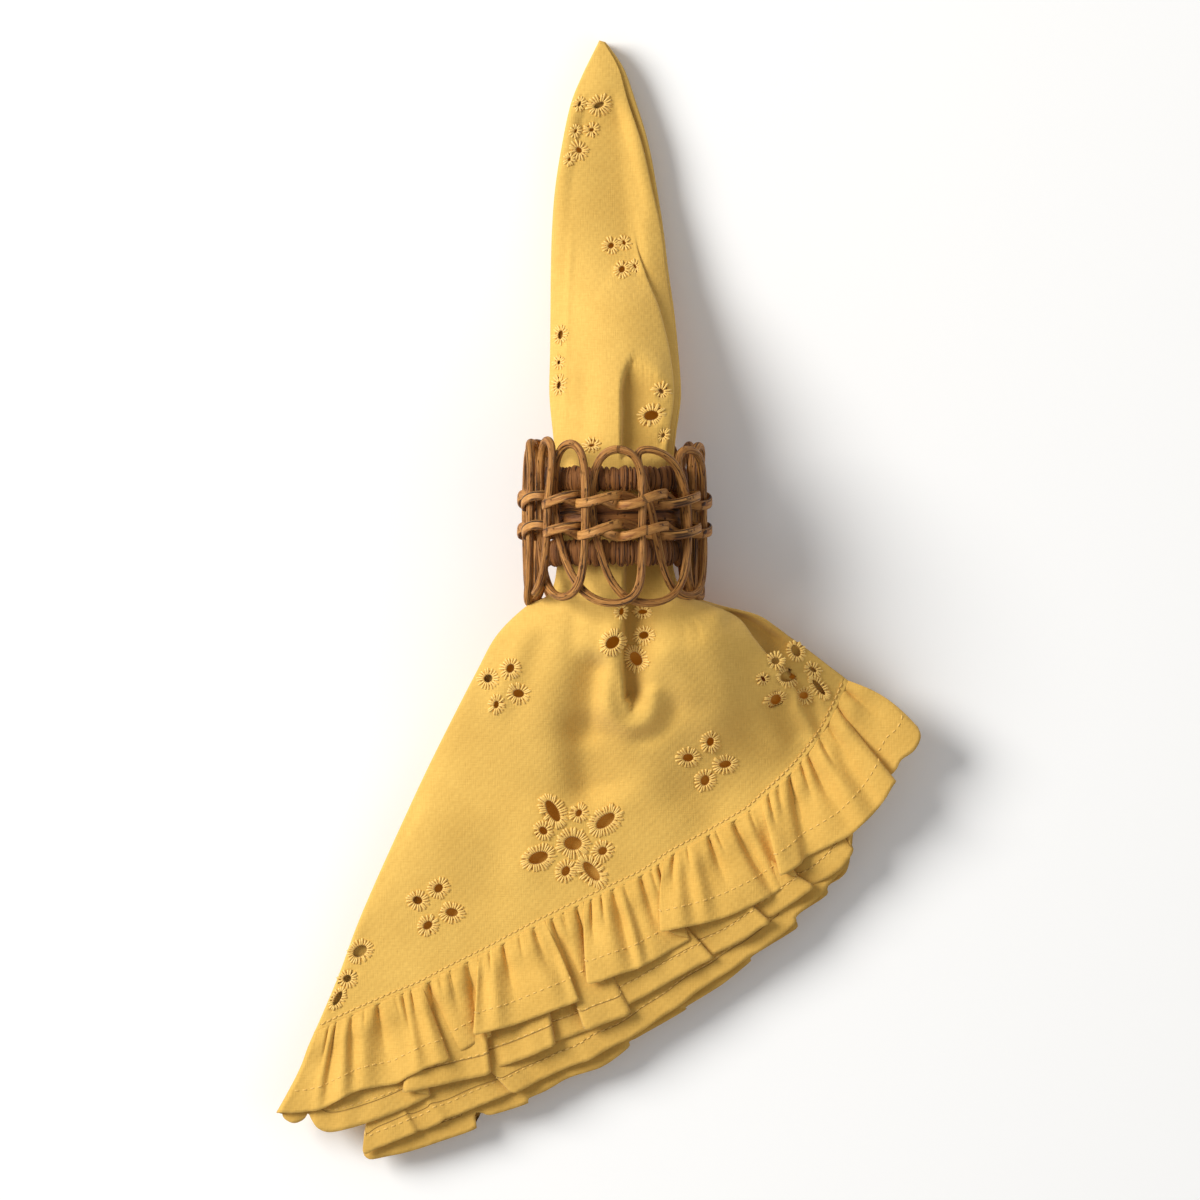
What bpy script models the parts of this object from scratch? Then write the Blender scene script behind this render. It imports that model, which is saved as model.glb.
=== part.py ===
"""A square eyelet-embroidered cotton napkin with a gathered ruffle, folded eight layers deep into
a wedge and drawn through a woven cane ring, lying on its back on a table.

Metres, +Z up, +Y towards the folded tip. The origin is on the underside of the fan, straight
below the ring's axis in X. Tables are in millimetres."""

import math

import bpy
import numpy as np

MM = 0.001

# The cloth: one square panel and one ruffle, each a single back-and-forth sheet.
LAYERS = 8
SHEET = 1.0  # thickness of one layer
SEAM_GAP = 0.6  # between the panel's edge and the ruffle's
TURN_STEPS = (30, -30)  # angles of the points inside each fold's half circle
PANEL_COLUMNS = (0, 0.12, 0.32, 0.46, 0.6, 0.84, 1)  # places across a hidden layer
RUFFLE_COLUMNS = 32
RUFFLE_DEPTH = 29.0
RUFFLE_ROWS = (0, 0.4, 1)  # from the seam to the hem
GATHER_HEIGHT = 1.8
GATHER_SPACING = 29.0
GATHER_DIRECTION = (0.87, 0.50)  # along the seam: one set of gathers runs through every layer

# Sections of the folded column, from the tip down into the ring and out of it. left and right
# are the outer folds, lift the lowest layer's height, pitch the step between layers, crown and
# belly how far the top rises and the bottom sags in the middle, valley the depth of the crease
# down the front, rise how far the front fold stands up in sheet steps, and lap its width, where
# a negative lap is a plain slope of that width.
COLUMN = (
    # y, left, right, lift, pitch, crown, belly, valley, rise, lap
    (262.0, -5.6, -2.4, 0.5, 1.40, 0.0, 0.0, 0.0, 0.0, -0.5),
    (251.0, -10.4, 2.6, 0.5, 1.40, 0.3, 0.0, 0.0, 0.0, -2.0),
    (238.0, -14.6, 8.0, 0.5, 1.45, 1.0, 0.0, 0.0, 0.6, -4.0),
    (214.0, -18.0, 13.6, 0.5, 1.50, 2.5, 0.0, 0.0, 1.8, -4.0),
    (200.0, -19.0, 15.6, 1.8, 1.50, 3.6, 0.5, 0.2, 2.0, -1.5),
    (183.0, -19.9, 17.4, 4.9, 1.55, 5.1, 1.0, 0.5, 2.0, 2.5),
    (160.0, -20.2, 19.8, 13.0, 1.55, 7.5, 3.0, 1.5, 2.0, 4.0),
    (143.0, -19.6, 20.0, 21.0, 1.50, 8.5, 6.0, 4.0, 2.0, 4.0),
    (130.0, -17.4, 17.4, 25.4, 1.45, 8.0, 8.5, 4.0, 2.0, 3.0),
    (105.0, -17.2, 17.2, 25.9, 1.45, 8.0, 8.5, 3.5, 2.0, 3.0),
    (88.0, -17.6, 17.8, 25.6, 1.45, 8.0, 8.0, 4.2, 2.0, 3.0),
    (79.0, -19.4, 20.2, 24.0, 1.50, 8.5, 6.5, 5.0, 2.0, 4.0),
)

# Sections of the fan, from just below the ring (0) to the ruffle's seam (1).
FAN = (
    # along, pitch, crown, belly, valley, rise, lap
    (0.0, 1.60, 9.0, 4.0, 5.5, 2.0, 7.0),
    (0.12, 1.70, 9.0, 2.5, 4.5, 2.0, 9.0),
    (0.26, 1.75, 8.0, 1.0, 2.2, 2.0, 6.0),
    (0.36, 1.75, 7.0, 0.5, 0.8, 2.0, 2.5),
    (0.44, 1.85, 6.2, 0.0, 0.0, 2.0, -1.5),
    (0.58, 1.85, 5.0, 0.0, 0.0, 1.6, -8.0),
    (0.78, 1.85, 3.0, 0.0, 0.0, 0.7, -12.0),
    (1.0, 1.85, 1.6, 0.0, 0.0, 0.0, -12.0),
)
FAN_LIFT = 20.0  # height of the lowest layer where it leaves the ring
FAN_REST = 0.5  # and where it lies on the table
FAN_DESCENT = 64.0  # distance over which it comes down
VALLEY_PLACE = 0.46  # the front crease, as a place across
VALLEY_WIDTH = 0.13
FAN_EXIT = ((-29.5, 69.5), (34.0, 71.0))  # left and right where the fan leaves the ring
FAN_BULGE = 4.2  # how far the fan's two sides bow outwards

# The edge of each layer where the ruffle is sewn on: a cubic curve from its left end to its
# right end. drop moves the left handle away from the tip.
SEAM_LEFT_HANDLE = (8.3, -8.1)
SEAM_RIGHT_HANDLE = (-15.6, -43.5)  # from the right end
SEAM_DROP_DIRECTION = (0.55, -0.835)
SEAMS = (
    # left_x, left_y, right_x, right_y, drop
    (-96.4, -59.0, 75.7, 54.8, 0.0),
    (-96.4, -59.0, 69.2, 37.3, 7.8),
    (-76.5, -70.5, 69.2, 37.3, 14.6),
    (-76.5, -70.5, 60.1, 19.4, 21.4),
    (-69.5, -64.8, 60.1, 19.4, 17.8),
    (-69.5, -64.8, 56.9, 22.7, 14.6),
    (-63.0, -61.6, 56.9, 22.7, 11.3),
    (-63.0, -61.6, 56.9, 25.9, 8.1),
)
# Which way the ruffle stands out from the seam: place across, and degrees from +X.
RUFFLE_HEADING = ((0.0, -115.0), (0.1, -88.0), (0.25, -63.0), (0.7, -60.0), (1.0, -36.0))

# The front fold laps over the layer's own right-hand part, at this place across.
LAP_EDGE = 0.80
LAP_STEP = 1.75  # height between the lapped thicknesses
LAP_TURN = 0.75  # how far each turn of the lap stands out
FRONT_COLUMNS = (0, 0.08, 0.2, 0.33, 0.4, 0.46, 0.52, 0.59, 0.67)
FRONT_WING = (0.9, 1)

# The ring: its axis runs along Y through this point, and heights are along the axis.
RING_CENTRE = (0.0, 105.9, 31.05)
LOOPS = 13
LOOP_MEAN_RADIUS = 27.0
LOOP_CANE = 2.6
LOOP_HEIGHT = 52.4
LOOP_SWEEP = 17.8  # sideways travel of each loop
LOOP_STEP_OUT = 1.75  # rising sides lie this far outside the mean, falling sides inside
LOOP_LEAN = 3.2  # sideways, from the loops' tops to their bottoms
LOOP_POINTS = 16
LOOP_PHASE = math.radians(-88.4)
TWINE_WIDTH = 2.4
TWINE_THICK = 1.2
TWINE_SWING = 1.6
TWINE_SQUARENESS = 0.5  # lower is a quicker step from one side of the loops to the other
TWINE_POINTS = 6  # points along each stitch
TWINE_HEIGHTS = {"upper": 7.1, "lower": -2.6}
CORE_GAP = 0.3
CORES = {
    # height, radial thickness, width along the axis
    "upper": (14.3, 3.0, 5.6),
    "middle": (2.3, 2.4, 2.4),
    "lower": (-10.2, 3.0, 5.6),
}
CORE_STEPS = 36


def clear_scene():
    for old in list(bpy.data.objects):
        bpy.data.objects.remove(old)


def material(name, colour, roughness):
    made = bpy.data.materials.new(name)
    made.use_nodes = True
    shader = made.node_tree.nodes["Principled BSDF"]
    shader.inputs["Base Color"].default_value = (*colour, 1)
    shader.inputs["Roughness"].default_value = roughness
    shader.inputs["Metallic"].default_value = 0
    return made


def add_object(name, data, collection, made_of):
    obj = bpy.data.objects.new(name, data)
    data.materials.append(made_of)
    collection.objects.link(obj)
    return obj


def cubic(start, handle_a, handle_b, end, t):
    """Points of a cubic Bezier curve at each t, as an array of rows."""
    t = np.asarray(t, float)[:, None]
    parts = (
        (1 - t) ** 3 * np.array(start),
        3 * (1 - t) ** 2 * t * np.array(handle_a),
        3 * (1 - t) * t**2 * np.array(handle_b),
        t**3 * np.array(end),
    )
    return sum(parts)


def seam_points(layer, across):
    """Plan of the layer's sewn edge, from left to right."""
    left_x, left_y, right_x, right_y, drop = SEAMS[layer]
    left_handle = np.array(SEAM_LEFT_HANDLE) + drop * np.array(SEAM_DROP_DIRECTION)
    right = np.array((right_x, right_y))
    return cubic((left_x, left_y), left_handle, right + SEAM_RIGHT_HANDLE, right, across)


def fan_mouth(across):
    """Where each ray leaves the ring."""
    left, right = np.array(FAN_EXIT)
    return left + np.asarray(across, float)[:, None] * (right - left)


def fan_bow(across, along, ray):
    """How far the fan's two sides bow outwards, as an offset in plan."""
    side = np.stack([ray[:, 1], -ray[:, 0]], axis=1)
    side /= np.linalg.norm(side, axis=1)[:, None]
    bow = FAN_BULGE * np.sin(math.pi * along) * np.cos(math.pi * np.asarray(across, float))
    return bow[:, None] * side


def fan_plan(layer, across, along):
    """Straight rays from the ring's mouth to the seam, bowed outwards at the two sides."""
    start = fan_mouth(across)
    ray = seam_points(layer, across) - start
    return start + along * ray + fan_bow(across, along, ray)


def fan_place(plan):
    """Which of the top layer's rays each point lies on, and its distance from the ring's mouth.
    Heights read these, so that layers of different outlines never cross."""
    places = np.linspace(0, 1, 801)
    start = fan_mouth(places)
    ray = seam_points(0, places) - start
    straight = np.array(plan)
    for _ in range(3):
        offset = straight[:, None, :] - start
        away = np.abs(offset[..., 0] * ray[:, 1] - offset[..., 1] * ray[:, 0])
        nearest = np.argmin(away / np.linalg.norm(ray, axis=1), axis=1)
        along = np.sum(offset[range(len(plan)), nearest] * ray[nearest], axis=1)
        along /= np.sum(ray[nearest] ** 2, axis=1)
        bow = fan_bow(places[nearest], np.clip(along, 0, 1), ray[nearest])
        straight = plan - bow
    return places[nearest], np.linalg.norm(straight - start[nearest], axis=1)


def column_plan(across, y, left, right):
    across = np.asarray(across, float)
    return np.stack([left + across * (right - left), np.full(len(across), y)], axis=1)


def share_of(layer):
    """1 at the top layer, 0 at the bottom one."""
    return (LAYERS - 1 - layer) / (LAYERS - 1)


def fan_lift(distance):
    """An easy slope down from the ring's mouth to the table."""
    down = np.clip(np.asarray(distance) / FAN_DESCENT, 0, 1)
    return FAN_REST + (FAN_LIFT - FAN_REST) * (1 - down * down * (3 - 2 * down))


def layer_height(layer, across, lift, pitch, crown, belly, valley):
    """Layers a pitch apart: the upper ones arch up, less the crease down the front, and the
    lower ones sag."""
    share = share_of(layer)
    arch = np.sin(math.pi * np.clip(across, 0, 1))
    crease = np.exp(-(((across - VALLEY_PLACE) / VALLEY_WIDTH) ** 2))
    stacked = lift + (LAYERS - 1 - layer) * pitch
    return stacked + arch * (crown * share - belly * (1 - share)) - valley * crease * share


def lapped_front(rise, lap, width):
    """Places across the top layer, and steps of height: the front fold goes out to the lap's
    edge, back under itself, and out again as the right-hand wing."""
    if lap > 0:
        reach = lap / 2 + LAP_TURN
        spread = (lap / 2, reach, lap / 2, -lap / 2, -reach, -lap / 2)
        heights = (1, 0.75, 0.5, 0.5, 0.25, 0)
    else:
        spread = np.linspace(lap / 2, -lap / 2, 6)
        heights = np.linspace(1, 0, 6)
    places = LAP_EDGE + np.array(spread) / width
    climb = np.array(FRONT_COLUMNS) / FRONT_COLUMNS[-1]
    across = np.array([*FRONT_COLUMNS, *places, *FRONT_WING])
    return across, rise * np.array([*climb, *heights, 0, 0])


def panel_layer(layer, station):
    """Middle line of one layer at one station, from left to right."""
    plan_of, place_of, *heights, rise, lap = station
    across, steps = np.array(PANEL_COLUMNS), 0
    if layer == 0:
        ends = plan_of(0, (0, 1))
        across, steps = lapped_front(rise, lap, np.linalg.norm(ends[1] - ends[0]))
    plan = plan_of(layer, across)
    place, lift = place_of(across, plan)
    return np.column_stack([plan, layer_height(layer, place, lift, *heights) + steps * LAP_STEP])


def column_station(y, left, right, lift, *heights):
    def plan_of(layer, across):
        return column_plan(across, y, left, right)

    def place_of(across, plan):
        return across, lift

    return (plan_of, place_of, *heights)


def fan_station(along, *heights):
    def plan_of(layer, across):
        return fan_plan(layer, across, along)

    def place_of(across, plan):
        place, distance = fan_place(plan)
        return place, fan_lift(distance)

    return (plan_of, place_of, *heights)


def panel_stations():
    return [column_station(*row) for row in COLUMN] + [fan_station(*row) for row in FAN]


def ruffle_layer(layer, down):
    """Middle line of one layer of the ruffle, at a share of its depth below the seam."""
    across = np.linspace(0, 1, RUFFLE_COLUMNS + 1)
    places, degrees = np.array(RUFFLE_HEADING).T
    heading = np.radians(np.interp(across, places, degrees))
    outward = np.stack([np.cos(heading), np.sin(heading)], axis=1)
    plan = seam_points(layer, across) + (SEAM_GAP + down * RUFFLE_DEPTH) * outward
    _, pitch, crown, belly, valley, *_ = FAN[-1]
    place, distance = fan_place(plan)
    heights = (fan_lift(distance), pitch, crown * (1 - down), belly, valley)
    height = layer_height(layer, place, *heights)
    gathers = 1 - np.cos(2 * math.pi * plan @ np.array(GATHER_DIRECTION) / GATHER_SPACING)
    return np.column_stack([plan, height + share_of(layer) * down * GATHER_HEIGHT * gathers])


def fold_turn(upper, lower):
    """Points of the half circle that joins the end of one layer to the start of the next."""
    middle = (upper[-1] + lower[0]) / 2
    radius = (upper[-1][2] - lower[0][2]) / 2
    outward = upper[-1][:2] - upper[-2][:2]
    outward = outward / np.linalg.norm(outward)
    turn = []
    for degrees in TURN_STEPS:
        angle = math.radians(degrees)
        plan = middle[:2] + radius * math.cos(angle) * outward
        turn.append([*plan, middle[2] + radius * math.sin(angle)])
    return turn


def zigzag(rows):
    """One section of the folded sheet: the layers back and forth, joined at alternate sides."""
    rows = [row[::-1] if layer % 2 == 0 else row for layer, row in enumerate(rows)]
    points = []
    for row, following in zip(rows, [*rows[1:], None]):
        points.extend(row)
        if following is not None:
            points.extend(fold_turn(row, following))
    return np.array(points)


def folded_sheet(name, sections, collection, made_of):
    """A loft through the sections, given its thickness."""
    grid = np.array(sections) * MM
    rows, columns = grid.shape[:2]
    index = np.arange(rows * columns).reshape(rows, columns)
    corners = (index[:-1, :-1], index[1:, :-1], index[1:, 1:], index[:-1, 1:])
    faces = np.stack(corners, axis=-1).reshape(-1, 4)
    mesh = bpy.data.meshes.new(name)
    mesh.from_pydata(grid.reshape(-1, 3).tolist(), [], faces.tolist())
    mesh.shade_smooth()
    obj = add_object(name, mesh, collection, made_of)
    thickness = obj.modifiers.new("Thickness", "SOLIDIFY")
    thickness.thickness = SHEET * MM
    thickness.offset = 0
    return obj


def make_napkin(collection):
    cotton = material("golden cotton", (0.86, 0.58, 0.17), 0.9)
    ruffle_cotton = material("golden ruffle cotton", (0.84, 0.55, 0.15), 0.9)
    stations = panel_stations()
    layers = range(LAYERS)
    panel = [zigzag([panel_layer(k, station) for k in layers]) for station in stations]
    folded_sheet("napkin_panel", panel, collection, cotton)
    ruffle = [zigzag([ruffle_layer(k, down) for k in layers]) for down in RUFFLE_ROWS]
    folded_sheet("napkin_ruffle", ruffle, collection, ruffle_cotton)


def ring_frame(collection):
    """An empty on the ring's axis: its Z is the ring's axis, along the world's +Y."""
    frame = bpy.data.objects.new("ring_axis", None)
    collection.objects.link(frame)
    frame.location = [value * MM for value in RING_CENTRE]
    frame.rotation_euler = (math.radians(-90), 0, 0)
    return frame


def closed_curve(name, points, collection, made_of, frame):
    curve = bpy.data.curves.new(name, "CURVE")
    curve.dimensions = "3D"
    curve.twist_mode = "Z_UP"
    spline = curve.splines.new("POLY")
    spline.points.add(len(points) - 1)
    for point, (x, y, z) in zip(spline.points, points):
        point.co = (x * MM, y * MM, z * MM, 1)
    spline.use_cyclic_u = True
    obj = add_object(name, curve, collection, made_of)
    obj.parent = frame
    return obj


def around(angle, radius, height):
    return (radius * math.cos(angle), radius * math.sin(angle), height)


def loop_strand(collection, made_of, frame):
    """One long cane in tall loops that lap round the ring: each goes down its left side on the
    inside, along the bottom to the right, and up the next loop's right side on the outside."""
    points = []
    for step in range(LOOPS * LOOP_POINTS):
        turn = step / LOOP_POINTS
        swing = math.sin(2 * math.pi * turn)
        drop = (1 - math.cos(2 * math.pi * turn)) / 2
        pitch = 2 * math.pi * LOOP_MEAN_RADIUS / LOOPS
        sideways = pitch * turn - LOOP_SWEEP / 2 * swing + LOOP_LEAN * drop
        radius = LOOP_MEAN_RADIUS - LOOP_STEP_OUT * math.tanh(2.2 * swing)
        angle = LOOP_PHASE + sideways / LOOP_MEAN_RADIUS
        points.append(around(angle, radius, LOOP_HEIGHT * (0.5 - drop)))
    cane = closed_curve("ring_loops", points, collection, made_of, frame)
    cane.data.bevel_depth = LOOP_CANE / 2 * MM
    cane.data.bevel_resolution = 1


def twined_strand(where, collection, made_of, frame):
    """A flat split cane that goes twice round the ring, over and under the pairs of loop sides.
    It is pressed flat where the ring stands."""
    outer = LOOP_MEAN_RADIUS + LOOP_STEP_OUT + LOOP_CANE / 2 + CORE_GAP + TWINE_THICK / 2
    inner = LOOP_MEAN_RADIUS - LOOP_STEP_OUT - LOOP_CANE / 2 - CORE_GAP - TWINE_THICK / 2
    middle, reach = (outer + inner) / 2, (outer - inner) / 2
    lean = LOOP_LEAN * (0.5 - TWINE_HEIGHTS[where] / LOOP_HEIGHT) / LOOP_MEAN_RADIUS
    first_pair = LOOP_PHASE + math.pi / LOOPS + lean
    points = []
    for step in range(2 * LOOPS * TWINE_POINTS):
        angle = first_pair + 2 * math.pi * step / (LOOPS * TWINE_POINTS)
        phase = math.pi * step / TWINE_POINTS
        side = math.cos(phase)
        radius = middle + reach * math.copysign(abs(side) ** TWINE_SQUARENESS, side)
        height = TWINE_HEIGHTS[where] + TWINE_SWING * math.sin(phase)
        points.append(around(angle, radius, height))
    mesh = closed_strip("ring_twine_" + where, np.array(points))
    bpy.context.view_layer.update()
    mesh.transform(frame.matrix_world)
    for vertex in mesh.vertices:
        vertex.co.z = max(vertex.co.z, 0)
    add_object(mesh.name, mesh, collection, made_of)


def closed_strip(name, points):
    """A closed strip of rectangular section, with its width along the ring's axis."""
    along = np.roll(points, -1, axis=0) - np.roll(points, 1, axis=0)
    along[:, 2] = 0
    along /= np.linalg.norm(along, axis=1)[:, None]
    out = np.stack([along[:, 1], -along[:, 0], np.zeros(len(points))], axis=1)
    up = np.array((0, 0, 1))
    corners = ((-1, -1), (1, -1), (1, 1), (-1, 1))
    sides = [points + out * a * TWINE_THICK / 2 + up * b * TWINE_WIDTH / 2 for a, b in corners]
    grid = np.stack(sides, axis=1) * MM
    index = np.arange(len(points) * 4).reshape(-1, 4)
    ahead, beside = np.roll(index, -1, axis=0), np.roll(index, -1, axis=1)
    faces = np.stack([index, ahead, np.roll(ahead, -1, axis=1), beside], axis=-1)
    mesh = bpy.data.meshes.new(name)
    mesh.from_pydata(grid.reshape(-1, 3).tolist(), [], faces.reshape(-1, 4).tolist())
    return mesh


def core_hoop(where, collection, made_of, frame):
    """An inner hoop: a torus of oval section, just inside the loops."""
    height, thick, width = CORES[where]
    outer = LOOP_MEAN_RADIUS - LOOP_STEP_OUT - LOOP_CANE / 2 - CORE_GAP
    bpy.ops.mesh.primitive_torus_add(
        major_segments=CORE_STEPS,
        minor_segments=6,
        major_radius=(outer - thick / 2) * MM,
        minor_radius=thick / 2 * MM,
    )
    hoop = bpy.context.object
    hoop.name = "ring_core_" + where
    for vertex in hoop.data.vertices:
        vertex.co.z *= width / thick
    for holder in list(hoop.users_collection):
        holder.objects.unlink(hoop)
    collection.objects.link(hoop)
    hoop.data.materials.append(made_of)
    hoop.parent = frame
    hoop.location = (0, 0, height * MM)


def make_ring(collection):
    frame = ring_frame(collection)
    loop_strand(collection, material("loop cane", (0.40, 0.20, 0.09), 0.5), frame)
    split = material("split cane", (0.46, 0.25, 0.11), 0.6)
    for where in TWINE_HEIGHTS:
        twined_strand(where, collection, split, frame)
    wound = material("wound cane", (0.30, 0.15, 0.07), 0.65)
    for where in CORES:
        core_hoop(where, collection, wound, frame)


def main():
    clear_scene()
    parts = bpy.data.collections.new("napkin_in_ring")
    bpy.context.scene.collection.children.link(parts)
    make_napkin(parts)
    make_ring(parts)


main()
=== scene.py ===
import math

import bpy
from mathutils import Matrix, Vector
import numpy as np


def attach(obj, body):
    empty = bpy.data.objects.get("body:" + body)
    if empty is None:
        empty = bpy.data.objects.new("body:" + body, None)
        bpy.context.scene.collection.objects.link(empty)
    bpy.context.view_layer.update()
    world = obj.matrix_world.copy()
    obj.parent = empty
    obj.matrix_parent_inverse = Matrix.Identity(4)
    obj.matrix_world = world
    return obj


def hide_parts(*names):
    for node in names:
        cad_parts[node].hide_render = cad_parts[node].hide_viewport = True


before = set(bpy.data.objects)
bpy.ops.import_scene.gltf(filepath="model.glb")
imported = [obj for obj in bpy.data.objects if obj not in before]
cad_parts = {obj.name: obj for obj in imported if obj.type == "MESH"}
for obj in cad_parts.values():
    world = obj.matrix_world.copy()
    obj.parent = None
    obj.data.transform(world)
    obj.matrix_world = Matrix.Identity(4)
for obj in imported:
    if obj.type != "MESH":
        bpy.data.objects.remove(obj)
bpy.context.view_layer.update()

mm = 0.001
layers = 8
fullTurn = 2 * math.pi


def travelledAlong(path):
    # The distance travelled to each point of a path, from nought.
    steps = np.linalg.norm(np.diff(path, axis=0), axis=1)
    return np.concatenate([[0], np.cumsum(steps)])


def unit(vectors):
    # The same directions, each one long.
    return vectors / np.maximum(np.linalg.norm(vectors, axis=-1, keepdims=True), 1e-6)


def smoothRows(table, count, along=(0, 1), dense=24):
    # A smooth curve through the rows of a table (each span a cubic set by its four nearest rows),
    # read off at even steps of the distance travelled in the columns named by along.
    rows = np.array(table, float)
    spans = len(rows) - 1
    padded = np.vstack([2 * rows[0] - rows[1], rows, 2 * rows[-1] - rows[-2]])
    place = np.linspace(0, spans, spans * dense + 1)
    first = np.minimum(place.astype(int), spans - 1)
    t = (place - first)[:, None]
    a, b, c, d = (padded[first + k] for k in range(4))
    path = 0.5 * (2 * b + (c - a) * t + (2 * a - 5 * b + 4 * c - d) * t**2
                  + (3 * b - a - 3 * c + d) * t**3)
    travelled = travelledAlong(path[:, list(along)])
    even = np.linspace(0, travelled[-1], count)
    return np.stack([np.interp(even, travelled, column) for column in path.T], axis=1)


def closedCurve(values, place):
    # A smooth curve through values that repeat all the way round, read at each place.
    values = np.asarray(values, float)
    first = np.floor(place).astype(int)
    t = place - first
    a, b, c, d = (values[(first + k) % len(values)] for k in (-1, 0, 1, 2))
    return 0.5 * (2 * b + (c - a) * t + (2 * a - 5 * b + 4 * c - d) * t**2 + (3 * b - a - 3 * c + d) * t**3)


def smoothStep(x):
    # 0 below 0, 1 above 1, and an even S between: 3x squared less 2x cubed.
    x = np.clip(x, 0, 1)
    return x * x * (3 - 2 * x)


def gridFaces(rows, columns, closedRows=False, closedColumns=False):
    # The four corners of every cell of a grid, wrapping round where it closes.
    index = np.arange(rows * columns).reshape(rows, columns)
    if closedRows:
        index = np.vstack([index, index[:1]])
    if closedColumns:
        index = np.hstack([index, index[:, :1]])
    corners = (index[:-1, :-1], index[:-1, 1:], index[1:, 1:], index[1:, :-1])
    return np.stack(corners, axis=-1).reshape(-1, 4)


def addMesh(name, points, faces, finish, uv=None, marks=None, smooth=True):
    # Whole arrays into a mesh: points in millimetres, one uv pair and one number of each mark for
    # each point.
    mesh = bpy.data.meshes.new(name)
    mesh.from_pydata((np.asarray(points) * mm).tolist(), [], np.asarray(faces).tolist())
    if smooth:
        mesh.shade_smooth()
    corners = np.empty(len(mesh.loops), np.int32)
    mesh.loops.foreach_get("vertex_index", corners)
    if uv is not None:
        layer = mesh.uv_layers.new(name="UVMap")
        layer.data.foreach_set("uv", (np.asarray(uv, np.float32)[corners]).ravel())
    for label, values in (marks or {}).items():
        attribute = mesh.attributes.new(label, "FLOAT", "POINT")
        attribute.data.foreach_set("value", np.asarray(values, np.float32).ravel())
    mesh.materials.append(finish)
    piece = bpy.data.objects.new(name, mesh)
    bpy.context.scene.collection.objects.link(piece)
    return piece


def addThickness(piece, thickness):
    # Half the thickness on each side of the sheet, with a rim all round.
    wall = piece.modifiers.new("Thickness", "SOLIDIFY")
    wall.thickness = thickness * mm
    wall.offset = 0
    wall.use_rim = True


def copiesOf(shape, faces, places):
    # One small shape put at many places: each place is a 3 by 3 frame and an origin.
    frames, origins = places
    points = np.einsum("nij,kj->nki", frames, shape) + origins[:, None, :]
    offsets = np.arange(len(origins))[:, None, None] * len(shape)
    return points.reshape(-1, 3), (faces[None] + offsets).reshape(-1, faces.shape[1])


def newGroup(name, inputs, outputs):
    # An empty shader group with named sockets, each input as a name, a kind and a value.
    group = bpy.data.node_groups.new(name, "ShaderNodeTree")
    for label, kind, value in inputs:
        socket = group.interface.new_socket(label, in_out="INPUT", socket_type=kind)
        if value is not None:
            socket.default_value = value
    for label, kind in outputs:
        group.interface.new_socket(label, in_out="OUTPUT", socket_type=kind)
    return group, group.nodes.new("NodeGroupInput"), group.nodes.new("NodeGroupOutput")


def mathNode(tree, operation, a, b=None, clamp=False):
    # One sum of two numbers, each a value or a node's output.
    node = tree.nodes.new("ShaderNodeMath")
    node.operation = operation
    node.use_clamp = clamp
    for socket, value in zip(node.inputs, (a, b)):
        if value is None:
            continue
        if isinstance(value, (int, float)):
            socket.default_value = value
        else:
            tree.links.new(value, socket)
    return node.outputs[0]


def mixColours(tree, share, first, second):
    # The first colour with a share of the second put over it.
    node = tree.nodes.new("ShaderNodeMix")
    node.data_type = "RGBA"
    for socket, value in ((node.inputs[0], share), (node.inputs[6], first), (node.inputs[7], second)):
        if isinstance(value, (int, float)):
            socket.default_value = value
        elif isinstance(value, tuple):
            socket.default_value = (*value, 1)
        else:
            tree.links.new(value, socket)
    return node.outputs[2]


def noise(tree, vector, scale, detail=2.0, roughness=0.5):
    # Cloudy noise from 0 to 1, with so many clouds to a metre.
    node = tree.nodes.new("ShaderNodeTexNoise")
    node.inputs["Scale"].default_value = scale
    node.inputs["Detail"].default_value = detail
    node.inputs["Roughness"].default_value = roughness
    tree.links.new(vector, node.inputs["Vector"])
    return node.outputs["Fac"]


def mapping(tree, vector, scale):
    # The same place with each of its three distances multiplied by its own scale.
    node = tree.nodes.new("ShaderNodeMapping")
    node.inputs["Scale"].default_value = scale
    tree.links.new(vector, node.inputs["Vector"])
    return node.outputs["Vector"]


def weaveGroup():
    # Plain weave: two sets of threads as sine waves across the cloth, each thread thicker and
    # thinner along its length, and a slow mottle from the dye.
    group, inside, outside = newGroup(
        "cottonWeave",
        (("Cloth", "NodeSocketVector", None), ("Threads", "NodeSocketFloat", 1500.0)),
        (("Height", "NodeSocketFloat"), ("Slub", "NodeSocketFloat"), ("Mottle", "NodeSocketFloat")),
    )
    cloth = inside.outputs["Cloth"]
    parts = group.nodes.new("ShaderNodeSeparateXYZ")
    group.links.new(cloth, parts.inputs[0])
    waves = []
    for axis in (0, 1):
        counted = mathNode(group, "MULTIPLY", parts.outputs[axis], inside.outputs["Threads"])
        wobble = mathNode(group, "MULTIPLY", noise(group, cloth, 160, 1), 2.5)
        waves.append(mathNode(group, "SINE", mathNode(group, "ADD", counted, wobble)))
    slubAcross = noise(group, mapping(group, cloth, (260, 3200, 260)), 1, 1)
    slubAlong = noise(group, mapping(group, cloth, (3200, 260, 260)), 1, 1)
    slub = mathNode(group, "MULTIPLY", mathNode(group, "ADD", slubAcross, slubAlong), 0.5)
    woven = mathNode(group, "MULTIPLY", waves[0], waves[1])
    height = mathNode(group, "ADD", mathNode(group, "MULTIPLY", woven, 0.25),
                      mathNode(group, "MULTIPLY", slub, 1.5))
    group.links.new(height, outside.inputs["Height"])
    group.links.new(slub, outside.inputs["Slub"])
    group.links.new(noise(group, cloth, 45, 4, 0.6), outside.inputs["Mottle"])
    return group


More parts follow.
